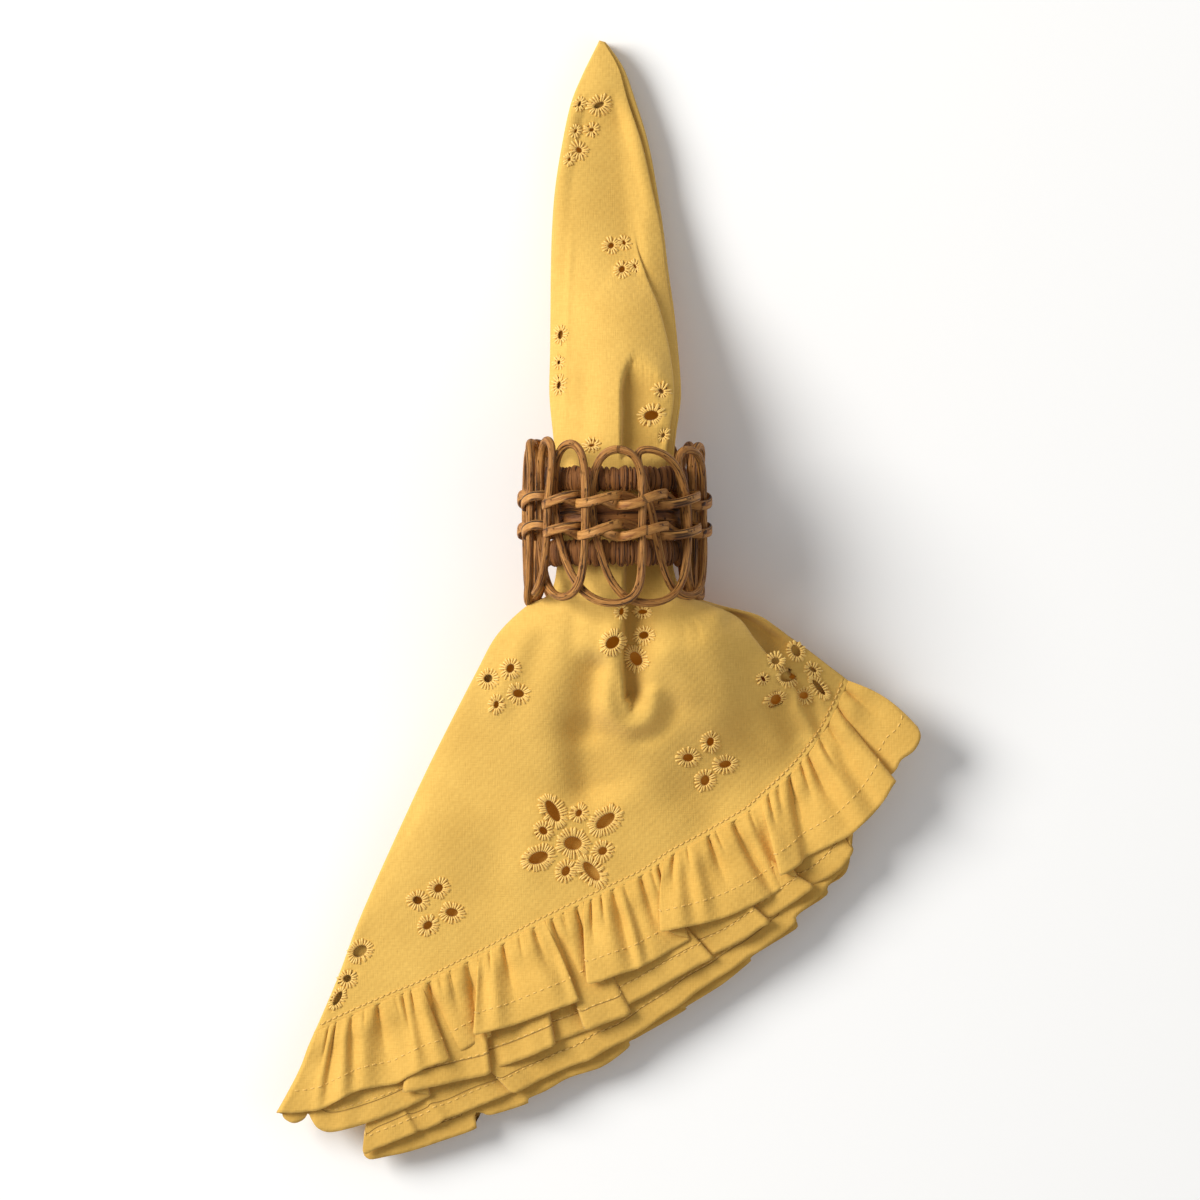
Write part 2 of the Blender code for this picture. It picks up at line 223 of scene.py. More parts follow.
def caneGroup():
    # Fibres run along the cane: noise stretched along its length, with dark cracks where a finer
    # one is low, dark specks where a third is high, and a slow change of tone.
    group, inside, outside = newGroup(
        "caneGrain",
        (("Along", "NodeSocketVector", None), ("Fineness", "NodeSocketFloat", 1.0)),
        (("Fibre", "NodeSocketFloat"), ("Speck", "NodeSocketFloat"), ("Tone", "NodeSocketFloat")),
    )
    scaled = group.nodes.new("ShaderNodeVectorMath")
    scaled.operation = "SCALE"
    group.links.new(inside.outputs["Along"], scaled.inputs[0])
    group.links.new(inside.outputs["Fineness"], scaled.inputs["Scale"])
    along = scaled.outputs[0]
    fibre = noise(group, mapping(group, along, (70, 1500, 1)), 1, 4, 0.7)
    group.links.new(fibre, outside.inputs["Fibre"])
    specks = noise(group, mapping(group, along, (330, 1300, 1)), 1, 2, 0.5)
    speck = mathNode(group, "MULTIPLY", mathNode(group, "SUBTRACT", specks, 0.60), 10, clamp=True)
    cracks = noise(group, mapping(group, along, (55, 1900, 1)), 1, 2, 0.5)
    crack = mathNode(group, "MULTIPLY", mathNode(group, "SUBTRACT", 0.425, cracks), 12, clamp=True)
    group.links.new(mathNode(group, "MAXIMUM", speck, crack), outside.inputs["Speck"])
    group.links.new(noise(group, mapping(group, along, (60, 160, 1)), 1, 3), outside.inputs["Tone"])
    return group


def newMaterial(name, roughness):
    # A material with its nodes and its shader, of one roughness all over.
    made = bpy.data.materials.new(name)
    made.use_nodes = True
    tree = made.node_tree
    shader = tree.nodes["Principled BSDF"]
    shader.inputs["Roughness"].default_value = roughness
    return made, tree, shader


def pieceVector(tree, kind="UV"):
    # The piece's own map, or its place in metres.
    return tree.nodes.new("ShaderNodeTexCoord").outputs[kind]


def addBump(tree, shader, height, distance):
    # Fine relief: the normal leans as a surface would that rises by height times distance.
    bump = tree.nodes.new("ShaderNodeBump")
    bump.inputs["Distance"].default_value = distance
    bump.inputs["Strength"].default_value = 1
    tree.links.new(height, bump.inputs["Height"])
    tree.links.new(bump.outputs["Normal"], shader.inputs["Normal"])


clothColours = {
    "light": (0.84, 0.530, 0.115),
    "deep": (0.63, 0.362, 0.062),
    "ruffleLight": (0.82, 0.50, 0.104),
    "ruffleDeep": (0.60, 0.335, 0.050),
    # painted shade: the colour that the mark "shade" mixes in, in folds and on layers under others
    "hidden": (0.50, 0.272, 0.042),
    "glow": (0.115, 0.036, 0.001),  # painted light: an emitted glow standing in for light that comes through the thin cloth to the layers under it
    # painted shade: the dark colour of the line that the mark "fromLine" draws in a sewn groove
    "line": (0.42, 0.19, 0.025),
    "threads": 2300.0,
    "slub": 1.3,  # how much thick and thin threads change the colour
    "mottle": 0.8,  # and how much the dye does
    "paler": 0.55,
    "glowFrom": 0.84,
    "glowSlope": 7,
    "lineShare": 0.62,
    "lineSlope": 3.4,
    "lineDepth": 2.5,
    "bump": 0.00011,
}

threadColours = {
    # pale, deep; the pale tone is a painted highlight on the thread's twist
    "satinThread": ((0.93, 0.63, 0.175), (0.80, 0.48, 0.10)),
    # the padding is darker than the thread: painted shade for the gaps between the stitches
    "satinPadding": ((0.70, 0.40, 0.08), (0.52, 0.26, 0.04)),
    "sewingThread": ((0.87, 0.56, 0.14), (0.70, 0.40, 0.075)),
}

caneColours = {
    # pale, middle, dark, roughness, fineness of the grain
    "loopCane": ((0.72, 0.335, 0.082), (0.27, 0.088, 0.016), (0.028, 0.008, 0.002), 0.5, 1.0),
    "splitCane": ((0.72, 0.345, 0.088), (0.28, 0.094, 0.018), (0.028, 0.008, 0.002), 0.55, 1.2),
    # the wound hoops' darker tones are partly their own colour and partly painted shade of the inside of
    # the ring
    "woundCane": ((0.40, 0.155, 0.034), (0.14, 0.042, 0.008), (0.02, 0.005, 0.001), 0.55, 1.1),
}

weave = weaveGroup()
grain = caneGroup()


def clothMaterial(name, light, deep, glow=None):
    # Woven cloth; the mark "shade" mixes in painted shade where it is folded away or under other layers,
    # and past a share of it adds the glow, a painted light; the mark "fromLine", in millimetres, draws a
    # sewn line where it is nought, a dark line of painted shade over a real dent.
    made, tree, shader = newMaterial(name, 0.85)
    woven = tree.nodes.new("ShaderNodeGroup")
    woven.node_tree = weave
    woven.inputs["Threads"].default_value = clothColours["threads"]
    tree.links.new(pieceVector(tree), woven.inputs["Cloth"])
    share = mathNode(tree, "ADD", mathNode(tree, "MULTIPLY", woven.outputs["Slub"], clothColours["slub"]),
                     mathNode(tree, "MULTIPLY", woven.outputs["Mottle"], clothColours["mottle"]))
    share = mathNode(tree, "SUBTRACT", share, clothColours["paler"], clamp=True)
    colour = mixColours(tree, share, light, deep)
    marks = {}
    for label in ("shade", "fromLine"):
        marks[label] = tree.nodes.new("ShaderNodeAttribute")
        marks[label].attribute_name = label
    shade = marks["shade"].outputs["Fac"]
    colour = mixColours(tree, shade, colour, clothColours["hidden"])
    away = mathNode(tree, "ABSOLUTE", marks["fromLine"].outputs["Fac"])
    line = mathNode(tree, "SUBTRACT", 1.0, mathNode(tree, "MULTIPLY", away, clothColours["lineSlope"]),
                    clamp=True)
    lineShare = mathNode(tree, "MULTIPLY", line, clothColours["lineShare"])
    colour = mixColours(tree, lineShare, colour, clothColours["line"])
    tree.links.new(colour, shader.inputs["Base Color"])
    if glow:
        # Painted light: the glow is emitted where the shade mark is above glowFrom.
        under = mathNode(tree, "SUBTRACT", shade, clothColours["glowFrom"])
        under = mathNode(tree, "MULTIPLY", under, clothColours["glowSlope"], clamp=True)
        tree.links.new(mixColours(tree, under, (0, 0, 0), glow), shader.inputs["Emission Color"])
        shader.inputs["Emission Strength"].default_value = 1.0
    shader.inputs["Sheen Weight"].default_value = 0.10
    shader.inputs["Sheen Roughness"].default_value = 0.6
    height = mathNode(tree, "SUBTRACT", woven.outputs["Height"],
                      mathNode(tree, "MULTIPLY", line, clothColours["lineDepth"]))
    addBump(tree, shader, height, clothColours["bump"])
    return made


def threadMaterial(name):
    # Thread that goes from pale to deep and back as its twist turns; the pale is a painted highlight.
    pale, deep = threadColours[name]
    made, tree, shader = newMaterial(name, 0.45)
    twistAndHighlight = noise(tree, pieceVector(tree, "Object"), 1800, 2)
    tree.links.new(mixColours(tree, twistAndHighlight, pale, deep), shader.inputs["Base Color"])
    shader.inputs["Sheen Weight"].default_value = 0.2
    # The same noise also makes a real bump.
    addBump(tree, shader, twistAndHighlight, 0.00006)
    return made


def caneMaterial(name):
    # Cane: pale and middle brown by its fibres, darker by its slow tone, and dark in its cracks.
    pale, middle, dark, roughness, fineness = caneColours[name]
    made, tree, shader = newMaterial(name, roughness)
    shader.inputs["Specular IOR Level"].default_value = 0.3
    fibres = tree.nodes.new("ShaderNodeGroup")
    fibres.node_tree = grain
    fibres.inputs["Fineness"].default_value = fineness
    tree.links.new(pieceVector(tree), fibres.inputs["Along"])
    tone = mathNode(tree, "SUBTRACT", fibres.outputs["Fibre"], 0.36)
    colour = mixColours(tree, mathNode(tree, "MULTIPLY", tone, 4, clamp=True), middle, pale)
    shadeShare = mathNode(tree, "MULTIPLY", fibres.outputs["Tone"], 0.7, clamp=True)
    colour = mixColours(tree, shadeShare, colour, mixColours(tree, 0.5, colour, dark))
    colour = mixColours(tree, mathNode(tree, "MULTIPLY", fibres.outputs["Speck"], 0.9), colour, dark)
    tree.links.new(colour, shader.inputs["Base Color"])
    height = mathNode(tree, "SUBTRACT", fibres.outputs["Fibre"],
                      mathNode(tree, "MULTIPLY", fibres.outputs["Speck"], 0.5))
    addBump(tree, shader, height, 0.0009)
    return made


cotton = clothMaterial("goldenCotton", clothColours["light"], clothColours["deep"], clothColours["glow"])
ruffleCotton = clothMaterial("goldenRuffleCotton", clothColours["ruffleLight"], clothColours["ruffleDeep"])
satinThread, satinPadding, sewingThread = (threadMaterial(name) for name in threadColours)
loopCane, splitCane, woundCane = (caneMaterial(name) for name in caneColours)
print("materials ready")


panel = {
    "rows": 205,
    "columns": (84, 24, 12),  # left of the front fold, through it, and right of it
    "hiddenColumns": 11,
    "thickness": 0.45,
    "descent": 66.0,  # distance over which the fan comes down to the table
    "rest": 0.5,
    "foldHalf": 1.25,
    "mouthRow": 15,
    "edgeEase": 5.0,  # creases fade in over this distance from the outer folds
    "ripple": 0.11,
    "seamRise": 0.5,
    "pressedShade": 0.22,  # painted shade: how much the creases, the two sharp ones, and the shadow behind the front fold deepen the colour
    "pinchedShade": 0.62,
    "behindShade": (0.3, 0.6),
    "mostShade": 0.82,
}

# Each row: left and right outer folds, share of the seam's curve, height of the lowest layer, step
# between layers, rise of the top and sag of the bottom in the middle, place of the front fold's
# edge, how far it laps, how high it stands, and how far the top layer's right edge is drawn in.
panelRows = (
    # leftX, leftY, rightX, rightY, bend, lift, step, crown, belly, foldAt, lap, stand, inset
    (-4.3, 262.3, -3.6, 262.1, 0, 0.5, 1.2, 0.0, 0.0, 0.70, 0.0, 0.0, 0.05),
    (-9.6, 251.5, 2.2, 253.5, 0, 0.5, 1.3, 0.6, 0.0, 0.70, 0.0, 0.0, 1.0),
    (-13.6, 241.2, 6.0, 243.0, 0, 0.5, 1.4, 1.6, 0.0, 0.70, 0.0, 0.0, 1.8),
    (-16.7, 226.0, 10.2, 229.0, 0, 0.5, 1.5, 2.8, 0.0, 0.70, 0.0, 0.0, 1.4),
    (-18.6, 213.0, 13.2, 213.0, 0, 0.5, 1.5, 3.4, 0.0, 0.72, 0.0, 0.0, 0.7),
    (-19.5, 200.0, 15.2, 200.0, 0, 1.8, 1.5, 4.2, 0.5, 0.75, 0.2, 0.4, 0.0),
    (-19.8, 187.0, 16.7, 187.0, 0, 4.0, 1.55, 5.2, 1.0, 0.78, 1.8, 1.4, 0.0),
    (-19.9, 175.0, 18.4, 175.0, 0, 7.8, 1.55, 6.2, 1.8, 0.83, 4.6, 2.3, 0.0),
    (-20.0, 161.0, 19.8, 161.0, 0, 12.8, 1.55, 7.4, 3.0, 0.88, 5.0, 2.4, 0.0),
    (-20.2, 147.0, 20.6, 147.0, 0, 19.2, 1.5, 8.3, 5.2, 0.905, 4.2, 2.4, 0.0),
    (-19.0, 134.0, 19.0, 134.0, 0, 24.2, 1.45, 8.2, 8.0, 0.905, 3.4, 2.4, 0.0),
    (-17.6, 121.0, 17.7, 121.0, 0, 25.7, 1.45, 8.0, 8.5, 0.90, 3.0, 2.4, 0.0),
    (-17.4, 105.0, 17.5, 105.0, 0, 25.9, 1.45, 8.2, 8.5, 0.90, 3.4, 2.4, 0.0),
    (-18.0, 90.0, 18.4, 90.0, 0, 25.5, 1.45, 8.8, 7.5, 0.90, 4.6, 2.4, 0.0),
    (-20.6, 82.6, 22.4, 83.2, 0, 24.4, 1.5, 9.2, 6.4, 0.90, 6.0, 2.4, 0.0),
    (-28.0, 78.6, 32.4, 79.4, 0, 22.5, 1.6, 9.6, 4.5, 0.90, 8.0, 3.6, 0.0),
    (-37.2, 69.5, 44.8, 76.2, 0.1, 22.5, 1.65, 9.4, 3.0, 0.87, 9.5, 4.6, 0.0),
    (-43.7, 57.8, 51.8, 72.2, 0.25, 22.5, 1.7, 9.0, 2.0, 0.85, 10.0, 4.8, 0.0),
    (-51.8, 42.2, 57.2, 68.6, 0.4, 22.5, 1.75, 8.2, 1.0, 0.86, 8.5, 4.0, 0.0),
    (-60.2, 25.4, 62.0, 65.2, 0.55, 22.5, 1.8, 7.0, 0.4, 0.875, 5.5, 3.0, 0.0),
    (-68.0, 8.6, 66.0, 62.2, 0.68, 22.5, 1.85, 5.8, 0.0, 0.895, 2.0, 1.3, 0.0),
    (-76.0, -9.0, 69.4, 59.6, 0.80, 22.5, 1.85, 4.4, 0.0, 0.90, 0.0, 0.7, 0.0),
    (-82.6, -24.4, 72.0, 57.7, 0.88, 22.5, 1.85, 3.2, 0.0, 0.90, 0.0, 0.3, 0.0),
    (-88.8, -41.2, 74.0, 56.2, 0.95, 22.5, 1.85, 2.2, 0.0, 0.90, 0.0, 0.0, 0.0),
    (-96.4, -59.0, 75.7, 54.8, 1.0, 22.5, 1.85, 1.6, 0.0, 0.90, 0.0, 0.0, 0.0),
)

# The top layer's sewn edge, from its left end to its right end.
seamPlan = (
    (-96.4, -59.0), (-86.0, -54.1), (-72.1, -48.0), (-62.7, -44.1), (-51.4, -38.2), (-39.7, -32.4),
    (-25.1, -24.6), (-5.0, -14.9), (9.2, -8.1), (18.3, -1.9), (30.9, 4.9), (43.3, 12.3),
    (48.4, 16.8), (57.8, 25.6), (66.6, 36.6), (71.4, 45.4), (75.7, 54.8),
)

# The lower layers' sewn edges: ends, and how far the curve hangs away from the tip.
lowerSeams = (
    # leftX, leftY, rightX, rightY, drop
    (-96.4, -59.0, 73.0, 49.5, 7.8),
    (-76.5, -70.5, 73.0, 49.5, 14.6),
    (-76.5, -70.5, 60.1, 19.4, 21.4),
    (-69.5, -64.8, 60.1, 19.4, 17.8),
    (-69.5, -64.8, 56.9, 22.7, 14.6),
    (-63.0, -61.6, 56.9, 22.7, 11.3),
    (-63.0, -61.6, 56.9, 25.9, 8.1),
)

# Creases on the top layer: how high each stands (a trough is below 0), how far it
# spreads to the left and to the right as one looks along it, how far it takes to fade in at its
# start and out at its end, and the points that it passes through. A crease with a share after
# its path narrows to that share of its spread at its end, and has a flatter floor.
creases = (
    # height, left, right, fadeIn, fadeOut, path
    (-6.2, 14.0, 0.85, 0, 9, ((3.8, 92), (3.4, 76), (2.9, 65), (3.1, 56), (5.0, 43.5)), 0.32),  # sharp
    (-4.4, 0.8, 13.0, 3, 16, ((2.9, 126), (2.8, 140), (3.0, 149), (5.2, 157), (9.6, 162)), 0.95),  # by ring
    (1.7, 2.4, 3.2, 10, 5, ((-0.8, 78), (-1.4, 62), (-3.2, 54), (-2.4, 47.5), (1.2, 42.0), (6, 40.4),
                            (10.8, 43), (12.4, 48.8), (11.0, 55))),  # the lip round the pocket
    (-1.5, 3.2, 3.0, 7, 9, ((18.4, 52), (18.6, 45), (14.5, 38.4), (8.0, 36.2), (1.5, 37.0))),
    (-5.6, 3.6, 8.0, 8, 15, ((-3.4, 66), (-5.4, 58), (-7.6, 49), (-8.6, 39), (-8.6, 31))),
    (-5.2, 11.0, 7.0, 10, 11, ((-9.4, 47), (-9.8, 36), (-8.8, 24), (-6.4, 11))),
    (3.2, 9.0, 10.0, 12, 14, ((27, 78), (33, 60), (34, 46), (26, 30))),
    (1.2, 5.0, 5.0, 8, 8, ((12.5, 70), (18, 62), (24, 52), (26, 44))),
    (-5.0, 5.0, 6.5, 6, 12, ((34, 80), (44, 75), (52, 69), (58, 61))),  # behind the front fold
    (-1.6, 5.0, 4.0, 7, 6, ((52, 52), (57, 42), (61, 33))),
    (0.8, 3.0, 4.0, 8, 6, ((42, 52), (50, 40), (56, 30))),
    (-0.24, 0.5, 0.7, 8, 8, ((-5, 34), (6, 17), (17.5, 0))),  # an old ironed line
    (-1.0, 5.0, 5.0, 8, 14, ((-22, 74), (-28, 56), (-35, 36))),
    (0.9, 4.0, 4.0, 8, 14, ((-26, 76), (-33, 58), (-41, 40))),
    (-0.9, 3.0, 3.0, 6, 8, ((-12, 82), (-13, 72), (-14.5, 60))),
    (-1.3, 9.0, 9.0, 14, 10, ((18, 30), (28, 18), (40, 10))),
    (1.0, 8.0, 8.0, 10, 10, ((2, 26), (16, 14), (26, 2))),
    (0.9, 10.0, 10.0, 18, 18, ((-50, 34), (-60, 4), (-70, -26))),
    (-1.0, 9.0, 9.0, 16, 14, ((-34, 14), (-39, -6), (-46, -26))),
    (0.7, 7.0, 7.0, 10, 10, ((-20, 20), (-28, 0), (-32, -16))),
    (0.9, 1.2, 8.0, 14, 6, ((0.8, 160), (1.2, 148), (1.4, 130))),
    (0.8, 3.0, 5.0, 10, 6, ((13.6, 164), (14.6, 146), (14.4, 130))),
    (0.4, 1.2, 1.2, 20, 8, ((-13.8, 206), (-15.4, 168), (-16.4, 132))),
    (-3.8, 6.5, 15.0, 14, 22, ((-1.0, 248), (0.8, 230), (2.5, 210), (4.5, 192), (6.5, 176))),
    (-0.8, 3.0, 3.0, 10, 6, ((-9.2, 162), (-9.4, 131))),
    (0.7, 3.0, 3.0, 10, 8, ((8.6, 210), (11.2, 184))),
)


def creaseHeight(x, y, hidden=False, chosen=creases):
    # Every crease is its height times a bell of the distance from its path, wider on one side
    # than on the other, times an eased fade at its two ends.
    places = np.stack([x.ravel(), y.ravel()], axis=1)
    total = np.zeros(len(places))
    for height, left, right, fadeIn, fadeOut, points, *taper in chosen:
        if hidden:
            height, left, right = min(height, 0) * 1.05, left * 1.2 + 1.2, right * 1.2 + 1.2
        path = smoothRows(points, 48)
        travelled = travelledAlong(path)
        tangent = np.gradient(path, axis=0)
        away = places[:, None] - path[None]
        nearest = np.argmin((away**2).sum(axis=2), axis=1)
        offset = away[np.arange(len(places)), nearest]
        distance = np.linalg.norm(offset, axis=1)
        if taper:
            distance = distance / (1 - (1 - taper[0]) * travelled[nearest] / travelled[-1])
        onLeft = tangent[nearest, 0] * offset[:, 1] - tangent[nearest, 1] * offset[:, 0] > 0
        bell = np.exp(-((distance / np.where(onLeft, left, right)) ** (2.8 if taper else 2)))
        along = travelled[nearest]
        fade = smoothStep(along / fadeIn) if fadeIn else 1
        total += height * bell * fade * smoothStep((travelled[-1] - along) / fadeOut)
    return total.reshape(x.shape)


def rippleHeight(x, y):
    # Five slow waves in different directions, so that no part of the cloth is quite flat.
    draw = np.random.default_rng(7)
    total = np.zeros_like(x)
    for _ in range(5):
        heading = draw.uniform(0, math.pi)
        length = draw.uniform(16, 46)
        phase = draw.uniform(0, fullTurn)
        total += np.sin(fullTurn * (x * math.cos(heading) + y * math.sin(heading)) / length + phase)
    return panel["ripple"] * total


def lowerSeam(layer, share):
    # A cubic curve from the left end to the right end; drop moves its first handle outwards.
    leftX, leftY, rightX, rightY, drop = lowerSeams[layer - 1]
    start, end = np.array((leftX, leftY)), np.array((rightX, rightY))
    first = np.array((8.3, -8.1)) + drop * np.array((0.55, -0.835))
    second = end + (-15.6, -43.5)
    t = share[..., None]
    return (1 - t) ** 3 * start + 3 * (1 - t) ** 2 * t * first + 3 * (1 - t) * t**2 * second + t**3 * end


topSeam = smoothRows(seamPlan, 600)
seamShares = np.linspace(0, 1, 600)


def seamAt(layer, share):
    # The place at a share of the way along a layer's sewn edge.
    if layer:
        return lowerSeam(layer, share)
    return np.stack([np.interp(share, seamShares, topSeam[:, k]) for k in (0, 1)], axis=-1)


panelRow = smoothRows(panelRows, panel["rows"]).T
foldPlace, standHeight, inset = panelRow[[9, 11, 12]]
rowCount = smoothRows([(*row[:2], number) for number, row in enumerate(panelRows)], panel["rows"])[:, 2]


def outerFolds(layer):
    # The ends of each row for one layer: the top layer's, moved by as much as its seam's ends are.
    leftX, leftY, rightX, rightY, bend = panelRow[:5]
    ends = seamAt(layer, np.array((0.0, 1.0))) - seamAt(0, np.array((0.0, 1.0)))
    share = bend**2
    left = np.stack([leftX, leftY], axis=1) + share[:, None] * ends[0]
    right = np.stack([rightX, rightY], axis=1) + share[:, None] * ends[1]
    if layer == 0:
        right = right - np.stack([inset, 0 * leftX], axis=1)
    return left, right


def foldHalfShare(width):
    # Half the front fold's width as a share of the row's, wider where the cloth spreads.
    return panel["foldHalf"] * (1 + 0.9 * smoothStep((width - 40) / 50)) / width


def panelLayer(layer, across):
    # One layer as an array of rows by columns. Plan: between the outer folds, bent towards the
    # sewn edge's curve. Height: the stack, plus the arch, less the fan's slope, plus creases.
    bend, lift, step, crown, belly, foldAt, lap, stand = panelRow[4:12]
    left, right = outerFolds(layer)
    width = np.linalg.norm(right - left, axis=1)
    rise = np.zeros_like(across)
    share = across
    if layer == 0:
        half = foldHalfShare(width)[:, None]
        x = (across - foldAt[:, None]) / half
        pull = (lap / 2)[:, None] / width[:, None] + half * smoothStep(lap / 2)[:, None]
        share = across - pull * x * np.exp((1 - np.clip(x, -6, 6) ** 2) / 2) * (np.abs(x) < 6)
        climb = smoothStep(across / (foldAt[:, None] * 0.9))
        rise = stand[:, None] * 0.5 * (1 - np.tanh(1.3 * x)) * climb
    chord = left[:, None] + share[..., None] * (right - left)[:, None]
    seam = seamAt(layer, share)
    ends = seamAt(layer, np.array((0.0, 1.0)))
    seamBow = seam - (ends[0] + share[..., None] * (ends[1] - ends[0]))
    plan = chord + bend[:, None, None] * seamBow
    mouth = plan[np.searchsorted(rowCount, panel["mouthRow"])]
    travelled = np.linalg.norm(plan - mouth, axis=2) * (rowCount >= panel["mouthRow"])[:, None]
    slope = 1 - smoothStep(travelled / panel["descent"])
    base = panel["rest"] + (lift[:, None] - panel["rest"]) * slope
    over = (layers - 1 - layer) / (layers - 1)
    arch = np.sin(math.pi * np.clip(share, 0, 1)) ** 0.85
    height = base + (layers - 1 - layer) * step[:, None]
    height += arch * (crown[:, None] * over - belly[:, None] * (1 - over))
    x, y = plan[..., 0], plan[..., 1]
    edge = smoothStep(np.minimum(share, 1 - share) * width[:, None] / panel["edgeEase"])
    height += over * creaseHeight(x, y, hidden=layer > 0) * edge
    height += rise + (rippleHeight(x, y) * edge if layer == 0 else 0)
    if layer == 0:
        toSeam = np.linalg.norm(plan - seamAt(0, np.clip(share, 0, 1)), axis=2)
        height += panel["seamRise"] * np.exp(-((toSeam / 1.5) ** 2)) * (bend > 0.5)[:, None]
    return np.concatenate([plan, height[..., None]], axis=2)


def foldTurn(upper, lower, degrees=(35, -35)):
    # Points of a half circle from the end of one layer to the start of the next.
    middle = (upper[:, -1] + lower[:, 0]) / 2
    radius = (upper[:, -1, 2] - lower[:, 0, 2])[:, None] / 2
    outward = unit(upper[:, -1, :2] - upper[:, -3, :2])
    turn = []
    for angle in np.radians(degrees):
        plan = middle[:, :2] + radius * math.cos(angle) * outward
        turn.append(np.column_stack([plan, middle[:, 2:] + radius * math.sin(angle)]))
    return np.stack(turn, axis=1)


def backAndForth(sheets, marks):
    # Layers laid back and forth and joined at alternate sides, with the painted-shade mark of each point.
    sheets = [sheet[:, ::-1] if k % 2 == 0 else sheet for k, sheet in enumerate(sheets)]
    columns, shades = [], []
    for k, sheet in enumerate(sheets):
        columns.append(sheet)
        shades.append(np.zeros(sheet.shape[:2]) + marks[k])
        if k + 1 < len(sheets):
            columns.append(foldTurn(sheet, sheets[k + 1]))
            shades.append(np.zeros((sheet.shape[0], 2)) + np.ravel(marks[k + 1])[-1])
    return np.concatenate(columns, axis=1), np.concatenate(shades, axis=1)


def topAcross():
    # Places across the top layer: even on each side of the front fold, closer through it.
    left, through, right = panel["columns"]
    foldAt = foldPlace[:, None]
    width = np.hypot(panelRow[2] - panelRow[0], panelRow[3] - panelRow[1])[:, None]
    half = np.minimum(2.6 * foldHalfShare(width), (1 - foldAt) * 0.8)
    parts = ((0 * foldAt, foldAt - half, left), (foldAt - half, foldAt + half, through),
             (foldAt + half, 0 * foldAt + 1, right))
    return np.concatenate([a + (b - a) * np.linspace(0, 1, n + 1)[None, :-1] for a, b, n in parts]
                          + [0 * foldAt + 1], axis=1)


def topPaintedShade(across, sheet):
    # How much painted shade deepens the top layer's colour: a share for each pressed place, by its
    # depth, and a painted shadow behind the front fold, by how high the fold stands.
    x, y = sheet[..., 0], sheet[..., 1]
    creaseShade = smoothStep(creaseHeight(x, y) / -7)
    sharpCreaseShade = smoothStep(creaseHeight(x, y, chosen=creases[:2]) / -6)
    low, high = panel["behindShade"]
    stands = standHeight[:, None]
    behind = smoothStep((across - foldPlace[:, None]) * 20)
    behind = behind * (low * smoothStep(stands / 2.4) + high * smoothStep((stands - 2.4) / 1.4))
    total = panel["pressedShade"] * creaseShade + panel["pinchedShade"] * sharpCreaseShade + behind
    return np.clip(total, 0, panel["mostShade"])[:, ::-1]


evenAcross = np.linspace(0, 1, panel["hiddenColumns"])
closerAtEnds = 0.6 * evenAcross + 0.2 * (1 - np.cos(math.pi * evenAcross))
hiddenAcross = closerAtEnds[None] * np.ones((panel["rows"], 1))
across = topAcross()
topSheet = panelLayer(0, across)
sheets = [topSheet] + [panelLayer(k, hiddenAcross) for k in range(1, layers)]
# Painted shade on the hidden layers, fading out at their outer folds and at the tip; full shade also glows.
hiddenLayerShade = smoothStep(16 * np.minimum(hiddenAcross, 1 - hiddenAcross)) * smoothStep(rowCount / 3)[:, None]
panelGrid, panelShade = backAndForth(sheets, [topPaintedShade(across, topSheet)] + [hiddenLayerShade] * (layers - 1))
print("panel worked out", panelGrid.shape)


eyelet = {
    "spacing": 0.42,  # between stitches, measured a third of the way out
    "height": 0.42,
    "profile": 6,
    "cut": 0.5,  # share of the rim's width under which the cloth is cut away
    "threadIn": 0.50,
    "threadOut": 0.84,
    "reach": (0.98, 1.34),  # a stitch's length beside the rim's width
}

threadMesh = {"sections": 8, "round": 6}

